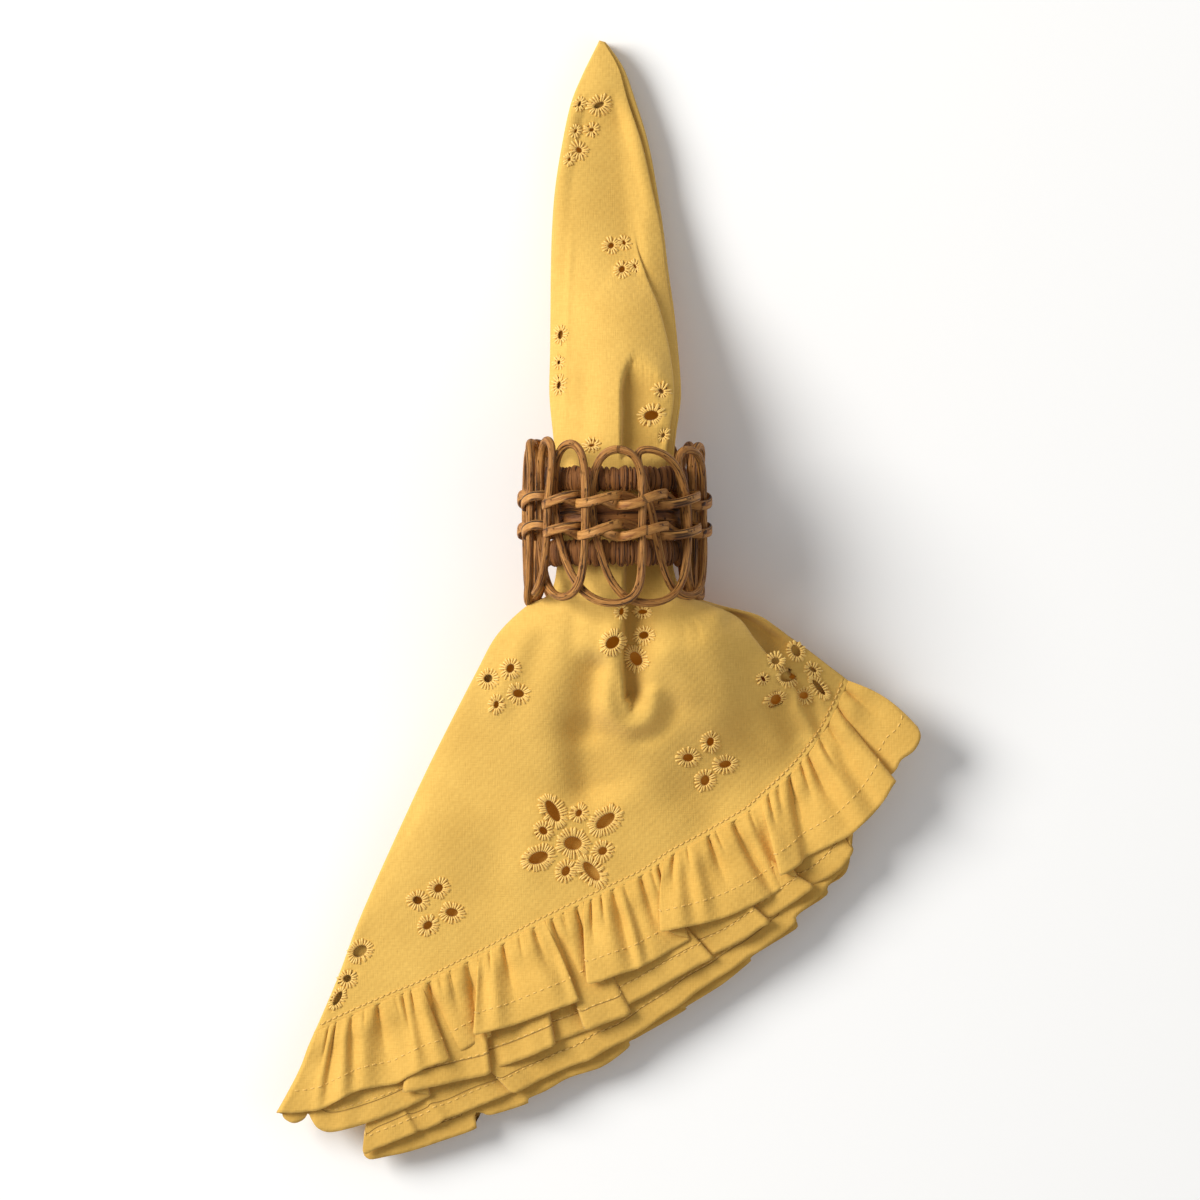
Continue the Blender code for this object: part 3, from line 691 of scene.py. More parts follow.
# Worked eyelets: place, the hole's long and short half widths, the way it points, and the
# width of the stitched rim.
eyelets = (
    # x, y, long, short, degrees, rim
    (-40.7, 55.7, 1.35, 1.2, 30, 2.2), (-33.5, 59.0, 1.45, 1.15, 60, 2.1),
    (-30.9, 50.9, 1.75, 1.25, -10, 2.1), (-38.1, 47.3, 1.2, 0.75, 80, 2.1),
    (23.8, 30.1, 1.7, 1.2, 0, 2.1), (30.9, 35.3, 1.4, 1.1, 80, 2.1),
    (35.8, 27.9, 1.9, 1.1, 10, 2.1), (29.3, 22.7, 1.65, 1.35, 70, 2.1),
    (-63.7, -16.2, 1.5, 1.2, -20, 2.1), (-56.9, -12.3, 1.5, 1.2, 50, 2.1),
    (-52.6, -20.1, 1.9, 1.3, -5, 2.1), (-60.4, -24.3, 1.6, 1.15, 40, 2.1),
    (-1.1, 195.7, 1.0, 0.8, 40, 2.0), (3.1, 196.7, 0.8, 0.5, 110, 1.7),
    (2.4, 187.9, 1.1, 0.9, 60, 1.9), (6.6, 188.9, 0.8, 0.4, -60, 1.5),
    (-13.4, 2.3, 2.8, 2.1, -5, 2.7), (-19.9, 12.8, 3.8, 1.6, -60, 2.3),
    (-2.9, 9.6, 3.5, 1.7, 38, 2.7), (-24.6, -2.4, 3.2, 1.8, 20, 2.5),
    (-7.4, -6.8, 3.7, 1.6, -50, 2.5), (-11.5, 12.1, 1.2, 0.9, 55, 2.0),
    (-23.0, 6.4, 1.45, 1.1, -40, 1.9), (-3.8, -0.2, 1.45, 1.2, 30, 2.2),
    (-15.7, -6.7, 1.6, 1.2, 60, 2.1),
    (55.9, 56.4, 2.6, 1.7, 15, 1.9), (58.5, 64.6, 2.0, 1.3, -60, 1.6),
    (51.8, 61.4, 1.3, 1.1, 0, 1.8), (64.0, 58.6, 1.4, 0.6, -30, 1.7),
    (66.0, 52.8, 3.2, 0.8, -50, 1.6), (61.1, 50.2, 1.4, 1.1, 0, 1.8),
    (52.0, 48.9, 1.8, 1.5, 40, 2.1), (47.8, 55.7, 1.0, 0.5, -50, 1.6),
    (-0.6, 67.4, 2.4, 1.7, 40, 2.2), (6.9, 62.2, 2.4, 1.7, -55, 2.1),
    (9.4, 69.7, 1.5, 1.1, 10, 2.0), (2.2, 77.3, 1.2, 0.7, 80, 1.5), (9.0, 77.2, 1.5, 0.7, 0, 1.6),
    (-82.4, -32.7, 2.4, 1.6, 35, 2.0), (-86.5, -41.6, 1.3, 1.1, 20, 1.8),
    (-89.6, -48.0, 2.6, 0.9, 60, 1.4),
    (-5.0, 241.4, 1.7, 0.8, 25, 2.5), (-11.3, 241.8, 0.9, 0.4, 70, 1.6),
    (-7.4, 233.4, 0.8, 0.5, 20, 1.9), (-12.6, 233.0, 0.7, 0.4, 60, 1.6),
    (-11.5, 226.8, 1.0, 0.8, -40, 2.3), (-14.6, 223.8, 0.7, 0.4, 70, 1.5),
    (-17.4, 166.6, 1.4, 0.7, 80, 1.8), (-17.9, 157.6, 0.7, 0.4, 80, 1.6),
    (-17.9, 150.2, 1.2, 0.5, 80, 2.2),
    (11.8, 140.3, 2.3, 1.5, 10, 2.3), (15.0, 148.2, 0.9, 0.6, -40, 2.2),
    (15.6, 133.9, 0.8, 0.5, 60, 1.7), (-7.3, 130.6, 0.9, 0.4, 10, 2.1),
)


def surfaceNear(x, y, reach=4.5):
    # The top layer close to one place, as height = a quadratic in x and y fitted to its points.
    flat = topSheet.reshape(-1, 3)
    near = np.hypot(flat[:, 0] - x, flat[:, 1] - y) < reach
    around = flat[near]
    beneath = np.hypot(around[:, 0] - x, around[:, 1] - y) < 1.6
    closest = around[beneath, 2].max()
    around = around[np.abs(around[:, 2] - closest) < 1.8]
    dx, dy = around[:, 0] - x, around[:, 1] - y
    terms = np.stack([np.ones_like(dx), dx, dy, dx * dx, dx * dy, dy * dy], axis=1)
    return np.linalg.lstsq(terms, around[:, 2], rcond=None)[0]


def heightOn(fit, dx, dy):
    # The fitted quadratic, so far from its own place.
    return fit[0] + fit[1] * dx + fit[2] * dy + fit[3] * dx * dx + fit[4] * dx * dy + fit[5] * dy * dy


def turned(x, y, degrees):
    # A place turned about nought.
    turn = math.radians(degrees)
    return x * math.cos(turn) - y * math.sin(turn), x * math.sin(turn) + y * math.cos(turn)


def threadFaces():
    # Faces of one thread: a skin round its sections, and two four-sided faces over each end.
    sections, around = threadMesh["sections"], threadMesh["round"]
    last = (sections - 1) * around
    start = np.array(((3, 2, 1, 0), (5, 4, 3, 0)))
    return np.concatenate([gridFaces(sections, around, closedColumns=True), start, last + start[:, ::-1]])


def eyeletRing(x, y, long, short, degrees, rim, fit, draw):
    # The padded ring under the stitches: a closed flat tube from the hole's edge outwards.
    angles = np.linspace(0, fullTurn, 36, endpoint=False)
    section = np.linspace(0, 1, eyelet["profile"])
    out = np.concatenate([section, section[-2:0:-1]])
    up = np.concatenate([0.32 * np.sin(math.pi * section**0.6) ** 0.6,
                         -0.45 * np.ones(len(section) - 2)])
    up[0], up[len(section) - 1] = -0.2, -0.1
    away = out[None] * rim * 0.5 * (1 + 0.06 * draw.standard_normal(len(angles)))[:, None]
    lx = np.cos(angles)[:, None] * (long + away)
    ly = np.sin(angles)[:, None] * (short + away)
    dx, dy = turned(lx, ly, degrees)
    points = np.stack([x + dx, y + dy, heightOn(fit, dx, dy) + 0.1 + up[None]], axis=-1)
    return points, gridFaces(*points.shape[:2], closedRows=True, closedColumns=True)


def eyeletThreads(x, y, long, short, degrees, rim, fit, draw):
    # Each stitch is a thread from inside the hole's edge, over the ring, to its own ragged end,
    # thicker towards the outer end.
    count = max(12, int(fullTurn * ((long + short) / 2 + rim / 3) / eyelet["spacing"] / 1.6))
    angles = (np.arange(count) + draw.uniform(-0.22, 0.22, count)) * fullTurn / count
    slant = draw.uniform(-0.10, 0.10, count) + 0.04
    reach = rim * draw.uniform(*eyelet["reach"], count)
    along = np.linspace(0, 1, threadMesh["sections"])
    bearing = angles[:, None] + slant[:, None] * along
    away = -0.08 + along * (reach[:, None] + 0.08)
    lx, ly = np.cos(bearing) * (long + away), np.sin(bearing) * (short + away)
    dx, dy = turned(lx, ly, degrees)
    arch = eyelet["height"] * (1 - np.abs(2 * along**0.8 - 1) ** 3) - 0.12
    centre = np.stack([x + dx, y + dy, heightOn(fit, dx, dy) + 0.12 + arch[None]], axis=-1)
    forward = unit(np.gradient(centre, axis=1))
    side = unit(np.cross(forward, (0, 0, 1)))
    up = np.cross(side, forward)
    width = (eyelet["threadIn"] + (eyelet["threadOut"] - eyelet["threadIn"]) * along)
    width = width * np.sqrt(np.clip(1 - (2 * along - 1) ** 8, 0.03, 1)) / 2
    turn = np.linspace(0, fullTurn, threadMesh["round"], endpoint=False)[:, None]
    circle = np.cos(turn) * side[:, :, None] + np.sin(turn) * up[:, :, None]
    points = centre[:, :, None] + width[None, :, None, None] * circle
    offsets = np.arange(count)[:, None, None] * threadMesh["sections"] * threadMesh["round"]
    return points.reshape(-1, 3), (threadFaces()[:, ::-1][None] + offsets).reshape(-1, 4)


def makeEyelets():
    # Every eyelet's padded ring in one mesh, and its stitches in another.
    draw = np.random.default_rng(3)
    made = []
    for build, finish, name in ((eyeletRing, satinPadding, "eyeletRings"),
                                (eyeletThreads, satinThread, "eyeletStitches")):
        points, faces, count = [], [], 0
        for x, y, long, short, degrees, rim in eyelets:
            some, cells = build(x, y, long, short, degrees, rim, surfaceNear(x, y), draw)
            points.append(some.reshape(-1, 3))
            faces.append(cells + count)
            count += len(points[-1])
        made.append(addMesh(name, np.concatenate(points), np.concatenate(faces), finish))
    return made


def cutEyelets(grid):
    # Moves grid points that lie under a rim's inner part out to its middle, and marks the cells
    # inside to be left out.
    firstTop = topSheet.shape[1]
    top = grid[:, :firstTop].copy()
    cellMiddle = (top[:-1, :-1] + top[1:, :-1] + top[1:, 1:] + top[:-1, 1:]) / 4
    gone = np.zeros(cellMiddle.shape[:2], bool)
    for x, y, long, short, degrees, rim in eyelets:
        fit = surfaceNear(x, y)
        cut = np.array((long, short)) + rim * eyelet["cut"]

        def polar(points):
            # Place from the hole's middle along its two half widths, and whether it is near.
            dx, dy = points[..., 0] - x, points[..., 1] - y
            lx, ly = turned(dx, dy, -degrees)
            lx, ly = lx / cut[0], ly / cut[1]
            level = np.abs(points[..., 2] - heightOn(fit, dx, dy)) < 1.2
            return lx, ly, np.hypot(lx, ly), level & (np.hypot(dx, dy) < 7)

        lx, ly, radius, level = polar(cellMiddle)
        gone |= (radius < 0.93) & level
        lx, ly, radius, level = polar(top)
        move = (radius < 1) & level
        scale = 1 / np.maximum(radius, 0.05)
        dx, dy = turned(lx * scale * cut[0], ly * scale * cut[1], degrees)
        top[..., 0] = np.where(move, x + dx, top[..., 0])
        top[..., 1] = np.where(move, y + dy, top[..., 1])
        top[..., 2] = np.where(move, heightOn(fit, dx, dy), top[..., 2])
    grid[:, :firstTop] = top
    return gone


gone = cutEyelets(panelGrid)
cells = gridFaces(*panelGrid.shape[:2]).reshape(panelGrid.shape[0] - 1, -1, 4)
keep = np.ones(cells.shape[:2], bool)
keep[:, :gone.shape[1]] &= ~gone
used = cells[keep]
order = np.unique(used)
renumber = np.zeros(panelGrid.shape[0] * panelGrid.shape[1], int)
renumber[order] = np.arange(len(order))
flatPanel = panelGrid.reshape(-1, 3)[order]
edgeShares = np.linspace(0, 1, 500)
edgeLine = seamAt(0, edgeShares)
toEdge = np.full(panelGrid.shape[:2], 50.0)
nearEdge = topSheet[-24:]
gaps = nearEdge[:, :, None, :2] - edgeLine[None, None]
toEdge[-24:, :topSheet.shape[1]] = np.sqrt((gaps**2).sum(axis=3)).min(axis=2)[:, ::-1]
# The mark "fromLine" draws a dark line of painted shade in the groove under the stitching, near the edge.
clothPanel = addMesh("clothPanel", flatPanel, renumber[used], cotton, uv=flatPanel[:, :2] * mm,
                     marks={"shade": panelShade.reshape(-1)[order],
                            "fromLine": (toEdge.reshape(-1)[order] - 1.7) * 1.6})
addThickness(clothPanel, panel["thickness"])
eyeletRings, eyeletStitches = makeEyelets()
print("panel and eyelets made", len(used) * 4 + len(eyelets))


ruffle = {
    "ribs": 24,
    "columns": (600, 340, 230, 210),
    "hiddenColumns": 130,
    "gap": -0.5,  # it starts a little under the panel's edge
    "step": 1.85,
    "thickness": 0.45,
    "standShare": (1.35, 1.7, 1.5, 1.4),  # how much the pleats stand, for each layer that shows
    "foldLine": 6.5,  # from the hem up to the turned-in edge's line, drawn dark as painted shade
    "seamDrop": 0.35,  # how far below the panel's edge it starts
    "gatherDepth": 2.2,
    "seamRoll": 1.2,
    "flute": 0.85,
    "hiddenPleats": 22,
    "hiddenSwing": 2.6,
    "shades": (0, 0.12, 0.2, 0.25, 0.31, 0.31, 0.31, 0.31),  # painted shade: how much each layer's colour deepens, more for the layers under others
}

# The hem of each layer that shows, followed along the cloth, so that it doubles back at each
# pleat: the place on the seam it hangs from, the hem's place, and its height over the layer.
frontHem = (
    # seamX, hemX, hemY, height
    (-96.4, -108.1, -84.9, 1.0), (-95.1, -104.5, -85.2, 0.6), (-93.5, -99.3, -84.6, 0.5),
    (-90.9, -95.1, -83.9, 1.3), (-87.3, -88.9, -80.7, 2.3), (-83.1, -82.8, -77.8, 1.7),
    (-78.6, -76.0, -76.5, 1.0), (-76.0, -70.5, -75.5, 1.4), (-72.1, -66.6, -73.2, 2.3),
    (-67.9, -62.7, -71.3, 2.8), (-65.0, -58.2, -69.3, 3.0), (-62.7, -54.6, -68.4, 2.9),
    (-62.4, -53.3, -67.4, 2.2), (-62.4, -55.2, -67.1, 1.4), (-62.0, -57.2, -67.7, 0.7),
    (-61.4, -55.2, -68.4, 0.1), (-59.8, -52.6, -66.7, 0.0), (-55.9, -48.1, -64.2, 0.3),
    (-49.4, -43.9, -61.9, 0.2), (-45.5, -41.3, -60.9, 0.4), (-44.6, -40.0, -59.9, 1.1),
    (-44.2, -42.3, -59.0, 1.9), (-44.2, -45.2, -58.3, 2.6), (-43.9, -44.9, -59.6, 3.3),
    (-41.6, -39.7, -58.3, 3.5), (-37.7, -33.2, -56.7, 3.0), (-33.2, -25.8, -54.1, 2.5),
    (-28.0, -19.0, -51.5, 2.7), (-24.1, -13.8, -49.6, 3.0), (-22.8, -11.5, -48.6, 2.4),
    (-22.5, -12.8, -48.0, 1.6), (-22.5, -14.7, -48.6, 0.8), (-21.5, -13.1, -49.2, 0.1),
    (-19.0, -10.2, -47.6, 0.0), (-14.4, -7.0, -46.0, 0.0), (-11.2, -4.0, -44.7, 0.3),
    (-10.2, -2.8, -43.4, 1.0), (-9.9, -5.7, -42.8, 1.8), (-9.9, -8.6, -41.8, 2.6),
    (-9.6, -8.3, -43.1, 3.3), (-7.6, -4.0, -42.1, 3.4), (-4.4, 1.1, -40.2, 2.9),
    (-0.8, 6.6, -38.6, 2.7), (3.4, 10.9, -36.6, 2.2), (7.6, 15.1, -34.3, 1.2),
    (11.5, 19.0, -32.1, 0.4), (14.4, 22.5, -30.1, 0.4), (15.7, 24.1, -28.5, 1.0),
    (16.0, 19.9, -27.2, 1.9), (16.0, 15.4, -24.9, 2.7), (16.4, 15.4, -26.2, 3.5),
    (18.3, 19.9, -25.3, 3.7), (21.5, 25.4, -24.3, 3.2), (25.1, 31.3, -23.0, 2.7),
    (29.0, 37.4, -21.1, 2.7), (32.9, 43.3, -18.5, 2.0), (37.4, 49.1, -15.6, 1.2),
    (42.3, 53.3, -13.0, 0.4), (45.8, 57.5, -10.4, 0.4), (47.1, 59.1, -8.7, 1.0),
    (47.5, 56.9, -8.1, 1.8), (47.5, 53.9, -6.8, 2.6), (47.8, 53.9, -8.1, 3.3),
    (50.1, 57.2, -6.5, 3.4), (53.6, 60.1, -4.5, 2.8), (55.9, 61.1, -2.9, 1.8),
    (57.5, 62.7, -1.9, 0.8), (59.1, 65.6, -0.6, 0.6), (60.8, 70.1, 1.6, 1.2),
    (62.7, 75.7, 4.5, 2.1), (65.0, 80.2, 8.4, 2.6), (67.2, 84.4, 12.6, 2.6),
    (69.5, 87.6, 16.8, 2.9), (71.1, 89.9, 20.7, 3.0), (71.8, 90.9, 22.4, 2.3),
    (71.8, 88.9, 23.0, 1.4), (72.1, 87.0, 23.0, 0.6), (72.7, 89.3, 24.3, 0.0),
    (73.4, 91.2, 26.2, 0.5), (74.0, 92.8, 29.2, 1.4), (74.7, 97.0, 32.4, 2.2),
    (75.3, 99.0, 36.6, 2.2), (75.7, 98.0, 39.9, 1.6),
)
secondHem = (
    # seamX, hemX, hemY, height
    (-96.7, -107.7, -85.5, -0.4), (-96.1, -106.8, -87.2, 0.0), (-94.8, -103.8, -88.5, 0.2),
    (-93.2, -100.6, -87.2, 0.0), (-91.5, -99.3, -85.2, 0.2), (-90.2, -98.0, -87.5, 0.4),
    (-88.3, -96.1, -90.1, 0.5), (-85.7, -92.2, -91.4, 0.6), (-80.5, -85.7, -90.1, 0.6),
    (-76.0, -79.2, -88.1, 0.6), (-70.8, -68.9, -84.2, 0.6), (-66.3, -61.7, -80.7, 0.5),
    (-63.7, -59.8, -79.4, 0.9), (-63.0, -62.7, -78.7, 1.3), (-62.4, -67.9, -77.8, 1.6),
    (-61.1, -67.6, -78.4, 2.0), (-56.5, -59.8, -76.8, 2.0), (-50.7, -50.7, -74.8, 1.6),
    (-45.5, -43.6, -73.3, 1.8), (-43.6, -40.8, -72.5, 2.3), (-43.2, -40.3, -71.3, 1.6),
    (-43.0, -43.0, -70.6, 0.7), (-42.5, -41.2, -71.3, 0.1), (-39.7, -37.1, -70.3, 0.5),
    (-33.9, -29.0, -67.4, 1.4), (-28.4, -22.8, -64.7, 2.0), (-26.8, -19.9, -63.3, 2.3),
    (-26.5, -19.4, -62.2, 1.5), (-26.3, -22.0, -61.6, 0.7), (-25.6, -19.8, -62.0, 0.1),
    (-24.1, -15.7, -60.9, 0.3), (-21.0, -10.4, -59.0, 0.4), (-20.2, -6.6, -57.4, 0.6),
    (-19.8, -7.6, -56.8, 1.5), (-19.5, -9.8, -57.6, 2.2), (-18.6, -8.0, -58.2, 2.4),
    (-15.7, -4.7, -56.7, 2.1), (-9.6, 4.0, -53.5, 1.9), (-8.6, 5.0, -51.8, 1.3),
    (-7.9, 4.4, -50.2, 0.9), (-4.7, 9.9, -47.3, 1.0), (3.4, 21.2, -40.8, 1.2),
    (8.4, 28.2, -36.9, 1.2), (10.2, 31.3, -35.4, 1.4), (10.6, 31.8, -34.4, 0.9),
    (10.8, 28.6, -33.6, 0.4), (11.5, 30.6, -34.2, 0.0), (13.1, 33.4, -33.2, 0.3),
    (18.6, 41.3, -29.2, 1.4), (23.2, 47.2, -25.3, 1.9), (24.9, 49.7, -23.8, 2.3),
    (25.3, 49.9, -22.6, 1.6), (25.6, 46.9, -21.5, 0.7), (26.4, 48.8, -21.8, 0.1),
    (27.7, 51.4, -21.2, 0.4), (32.6, 58.0, -17.0, 1.3), (36.4, 61.8, -14.2, 1.9),
    (38.2, 64.2, -12.3, 2.3), (38.6, 64.0, -11.2, 1.5), (38.9, 61.2, -10.6, 0.7),
    (39.5, 63.4, -11.2, 0.1), (40.9, 67.2, -9.8, 0.4), (44.6, 70.8, -8.0, 0.8),
    (50.4, 74.7, -4.5, 1.2), (60.1, 77.3, 0.0, 1.4), (65.0, 76.3, 3.2, 1.2),
    (69.8, 80.2, 11.3, 1.0), (73.1, 86.0, 22.7, 1.0), (75.0, 91.2, 32.4, 0.6),
)
thirdHem = (
    # seamX, hemX, hemY, height
    (-96.1, -80.5, -89.4, 0.4), (-94.8, -81.2, -94.0, 0.6), (-93.5, -81.2, -98.5, 0.8),
    (-90.9, -76.6, -96.6, 1.0), (-85.7, -70.1, -94.0, 1.2), (-81.8, -64.6, -91.7, 1.4),
    (-79.9, -64.0, -91.0, 0.9), (-77.9, -61.4, -90.7, 0.6), (-74.0, -56.5, -88.5, 0.9),
    (-72.1, -55.2, -87.2, 1.3), (-69.5, -51.7, -86.2, 1.0), (-59.8, -41.3, -82.0, 0.8),
    (-55.4, -34.6, -79.3, 0.5), (-54.4, -30.5, -77.4, 0.5), (-54.0, -31.8, -76.6, 1.3),
    (-53.6, -34.2, -77.7, 1.9), (-52.8, -32.2, -78.6, 2.1), (-51.4, -29.8, -77.6, 1.7),
    (-45.2, -22.5, -73.9, 0.9), (-37.1, -13.8, -70.0, 0.8),
    (-30.6, -7.9, -68.0, 1.0), (-24.1, -1.5, -64.2, 1.0), (-19.0, 6.3, -60.3, 0.8),
    (-11.2, 16.0, -53.8, 0.8), (-4.7, 22.5, -49.6, 1.0), (-0.8, 27.7, -45.4, 0.7),
    (8.3, 39.0, -38.2, 0.8), (12.2, 44.6, -34.0, 1.1), (16.0, 48.4, -31.8, 0.8),
    (24.5, 58.5, -24.0, 0.9), (26.7, 59.1, -21.4, 1.1), (34.2, 67.9, -13.9, 0.8),
    (36.8, 68.9, -11.7, 1.1), (42.3, 74.7, -5.8, 0.9), (47.1, 76.3, -0.6, 0.8),
    (60.1, 78.2, 9.7, 0.8), (69.8, 83.4, 22.7, 0.6),
)
fourthHem = (
    # seamX, hemX, hemY, height
    (-96.1, -81.2, -99.1, 0.0), (-94.1, -79.2, -100.4, 0.1), (-90.6, -74.0, -99.5, 0.2),
    (-84.1, -66.3, -97.8, 0.3), (-77.6, -56.5, -94.6, 0.3), (-70.1, -45.5, -90.7, 0.4),
    (-68.9, -44.9, -88.8, 0.7), (-68.2, -45.2, -85.5, 0.9), (-66.3, -42.9, -85.2, 0.6),
    (-64.3, -39.7, -85.9, 0.3), (-57.2, -28.4, -82.3, 0.3), (-55.9, -28.0, -80.7, 0.7),
    (-51.7, -22.2, -78.1, 0.4), (-45.2, -14.7, -73.9, 0.4), (-37.1, -4.0, -70.3, 0.4),
    (-30.6, 4.4, -64.2, 0.4), (-29.3, 4.7, -61.9, 0.8), (-26.7, 7.3, -60.9, 0.4),
    (-17.7, 22.5, -52.2, 0.4), (-15.7, 23.2, -50.9, 0.7), (-7.9, 34.8, -43.7, 0.4),
    (-0.8, 43.9, -36.3, 0.5), (0.5, 44.9, -34.3, 0.8), (8.3, 56.9, -26.9, 0.4),
    (10.2, 59.5, -24.6, 0.6), (11.5, 59.1, -21.4, 0.9), (16.4, 67.2, -15.9, 0.4),
    (18.0, 69.2, -13.9, 0.6), (19.3, 69.2, -11.7, 0.9), (24.5, 73.7, -8.7, 0.5),
    (27.7, 75.7, -5.8, 0.5), (34.2, 77.0, 1.6, 0.5), (47.1, 78.2, 13.0, 0.4),
    (60.1, 81.5, 24.3, 0.4),
)

# Small gathers just under the seam: place on the seam, width, depth, and how far down they run.
gathers = (
    # seamX, width, depth, reach
    (-92.6, 0.7, 0.6, 0.5), (-90.2, 0.6, 0.8, 1.1), (-85.2, 1.2, 0.7, 0.9), (-81.0, 0.6, 0.4, 0.25),
    (-76.8, 1.3, 1.2, 1.0), (-71.2, 0.6, 0.4, 0.3), (-68.8, 1.1, 1.0, 0.8), (-66.0, 0.5, 0.8, 0.3),
    (-60.2, 1.2, 1.3, 0.8), (-56.8, 0.5, 0.5, 0.25), (-53.4, 0.9, 0.8, 0.55), (-48.2, 1.0, 1.2, 0.65),
    (-40.6, 0.6, 0.6, 0.3), (-36.2, 1.1, 1.1, 0.7), (-31.0, 0.6, 0.5, 0.3), (-26.4, 1.1, 1.1, 0.6),
    (-20.5, 0.9, 1.0, 0.5), (-17.0, 0.8, 0.8, 0.35), (-12.5, 0.9, 1.3, 0.6), (-7.6, 0.7, 1.0, 0.5),
    (-4.4, 0.6, 0.8, 0.4), (-0.8, 1.2, 0.9, 0.9), (3.0, 0.6, 0.5, 0.3), (8.3, 1.2, 1.3, 0.8),
    (11.7, 0.6, 0.7, 0.3), (14.0, 0.7, 1.2, 0.4), (19.0, 1.2, 1.1, 0.8), (23.4, 0.6, 0.5, 0.3),
    (30.3, 1.0, 1.2, 0.7), (32.6, 0.5, 0.6, 0.3), (38.3, 1.2, 1.3, 0.8), (43.6, 0.6, 0.6, 0.3),
    (49.6, 0.7, 1.0, 0.4), (52.6, 0.8, 0.9, 0.35), (56.4, 0.9, 1.5, 0.9), (60.1, 0.8, 0.9, 0.5),
    (62.4, 0.8, 1.0, 0.6), (66.2, 0.7, 0.9, 0.4), (69.0, 0.6, 0.8, 0.4), (72.0, 0.6, 1.1, 0.8),
    (74.4, 0.5, 0.9, 0.7),
)

seamTop = topSheet[-1]
seamOrder = np.argsort(seamTop[:, 0])


def seamHeight(x):
    # The top layer's height along its sewn edge.
    return np.interp(x, seamTop[seamOrder, 0], seamTop[seamOrder, 2])


def ruledStrip(start, hem, shorter=0.0):
    # A flat strip of ribs from the seam out to the hem, each one shorter where asked.
    outward = unit(hem - start)
    hem = hem - outward * shorter
    start = start + ruffle["gap"] * outward
    down = np.linspace(0, 1, ruffle["ribs"])[:, None]
    return start[None] + down[..., None] * (hem - start)[None], down, outward


def ruffleShown(layer, table, columns):
    # A ruled sheet from the seam to the hem's path, a little hollow halfway, with gathers that
    # start at the seam and die away down the cloth.
    path = smoothRows(table, columns, along=(1, 2), dense=16)
    seamX, hemX, hemY, stand = path.T
    shares = np.linspace(0, 1, 600)
    seamCurve = seamAt(layer, shares)
    share = np.interp(seamX, seamCurve[:, 0], shares)
    plan, down, outward = ruledStrip(seamAt(layer, share), np.stack([hemX, hemY], axis=1))
    endBow = smoothStep((share - 0.95) / 0.05)[None] * np.sin(math.pi * down) * 2.6
    plan = plan + endBow[..., None] * np.array((0.45, 0.9))
    sway = 0.5 * np.sin(seamX / 4.1 + layer) + 0.4 * np.sin(seamX / 1.9 + 2)
    across = np.stack([-outward[:, 1], outward[:, 0]], axis=1)
    plan = plan + (np.sin(math.pi * down) * sway[None])[..., None] * across[None]
    top = seamHeight(np.clip(plan[0, :, 0], -96, 75.6)) - ruffle["seamDrop"]
    base = top[None] - layer * ruffle["step"] + 0 * down
    onTable = panel["rest"] + (layers - 1 - layer) * ruffle["step"]
    settle = smoothStep(down * 1.1)
    height = base * (1 - settle) + settle * np.minimum(base, onTable + 2.0)
    stand = stand * ruffle["standShare"][layer]
    height = height + stand[None] * (0.35 * down + 0.65 * smoothStep(down * 1.3))
    if layer == 0:
        depth = np.zeros_like(height)
        for place, width, deep, reach in gathers:
            bell = np.exp(-(np.abs((seamX - place)[None] / (width * (0.5 + 1.7 * down))) ** 1.5))
            depth += deep * bell * (1 - smoothStep(down / reach / 1.3)) * smoothStep(down * 9 + 0.1)
        flute = np.sin(seamX * 0.78 + 1.9 * np.sin(seamX * 0.29))[None] * np.sin(math.pi * down * 0.9)
        roll = np.exp(-(((down - 0.18) / 0.16) ** 2))
        height += ruffle["seamRoll"] * roll + ruffle["flute"] * flute - ruffle["gatherDepth"] * depth
    else:
        phase = np.random.default_rng(layer).uniform(0, 6)
        height += 0.2 * np.sin(fullTurn * seamX / 7.3 + phase)[None] * down
    return np.concatenate([plan, height[..., None]], axis=2)


def ruffleHidden(layer):
    # A pleated strip that stays inside the fourth layer's hem: its hem swings back and forth
    # along itself by more than it moves on, so that the cloth doubles back at each pleat.
    place = np.linspace(0, 1, ruffle["hiddenColumns"])
    swing = fullTurn * ruffle["hiddenPleats"]
    hemAt = np.clip(place + ruffle["hiddenSwing"] / swing * np.sin(swing * place), 0, 1)
    path = smoothRows([row for row in fourthHem if row[2] < 15], 200, along=(1, 2))
    hem = np.stack([np.interp(hemAt, np.linspace(0, 1, 200), path[:, k]) for k in (1, 2)], axis=1)
    share = 0.02 + 0.96 * place
    plan, down, _ = ruledStrip(seamAt(layer, share), hem, shorter=2.5 + 1.5 * (layer - 4))
    top = np.interp(share, hiddenAcross[0], sheets[layer][-1, :, 2])
    onTable = panel["rest"] + (layers - 1 - layer) * ruffle["step"] * 0.9
    height = (top[None] - 0.3) * (1 - smoothStep(down)) + smoothStep(down) * onTable
    height += 0.35 * down * np.cos(swing * place)[None]
    return np.concatenate([plan, height[..., None]], axis=2)


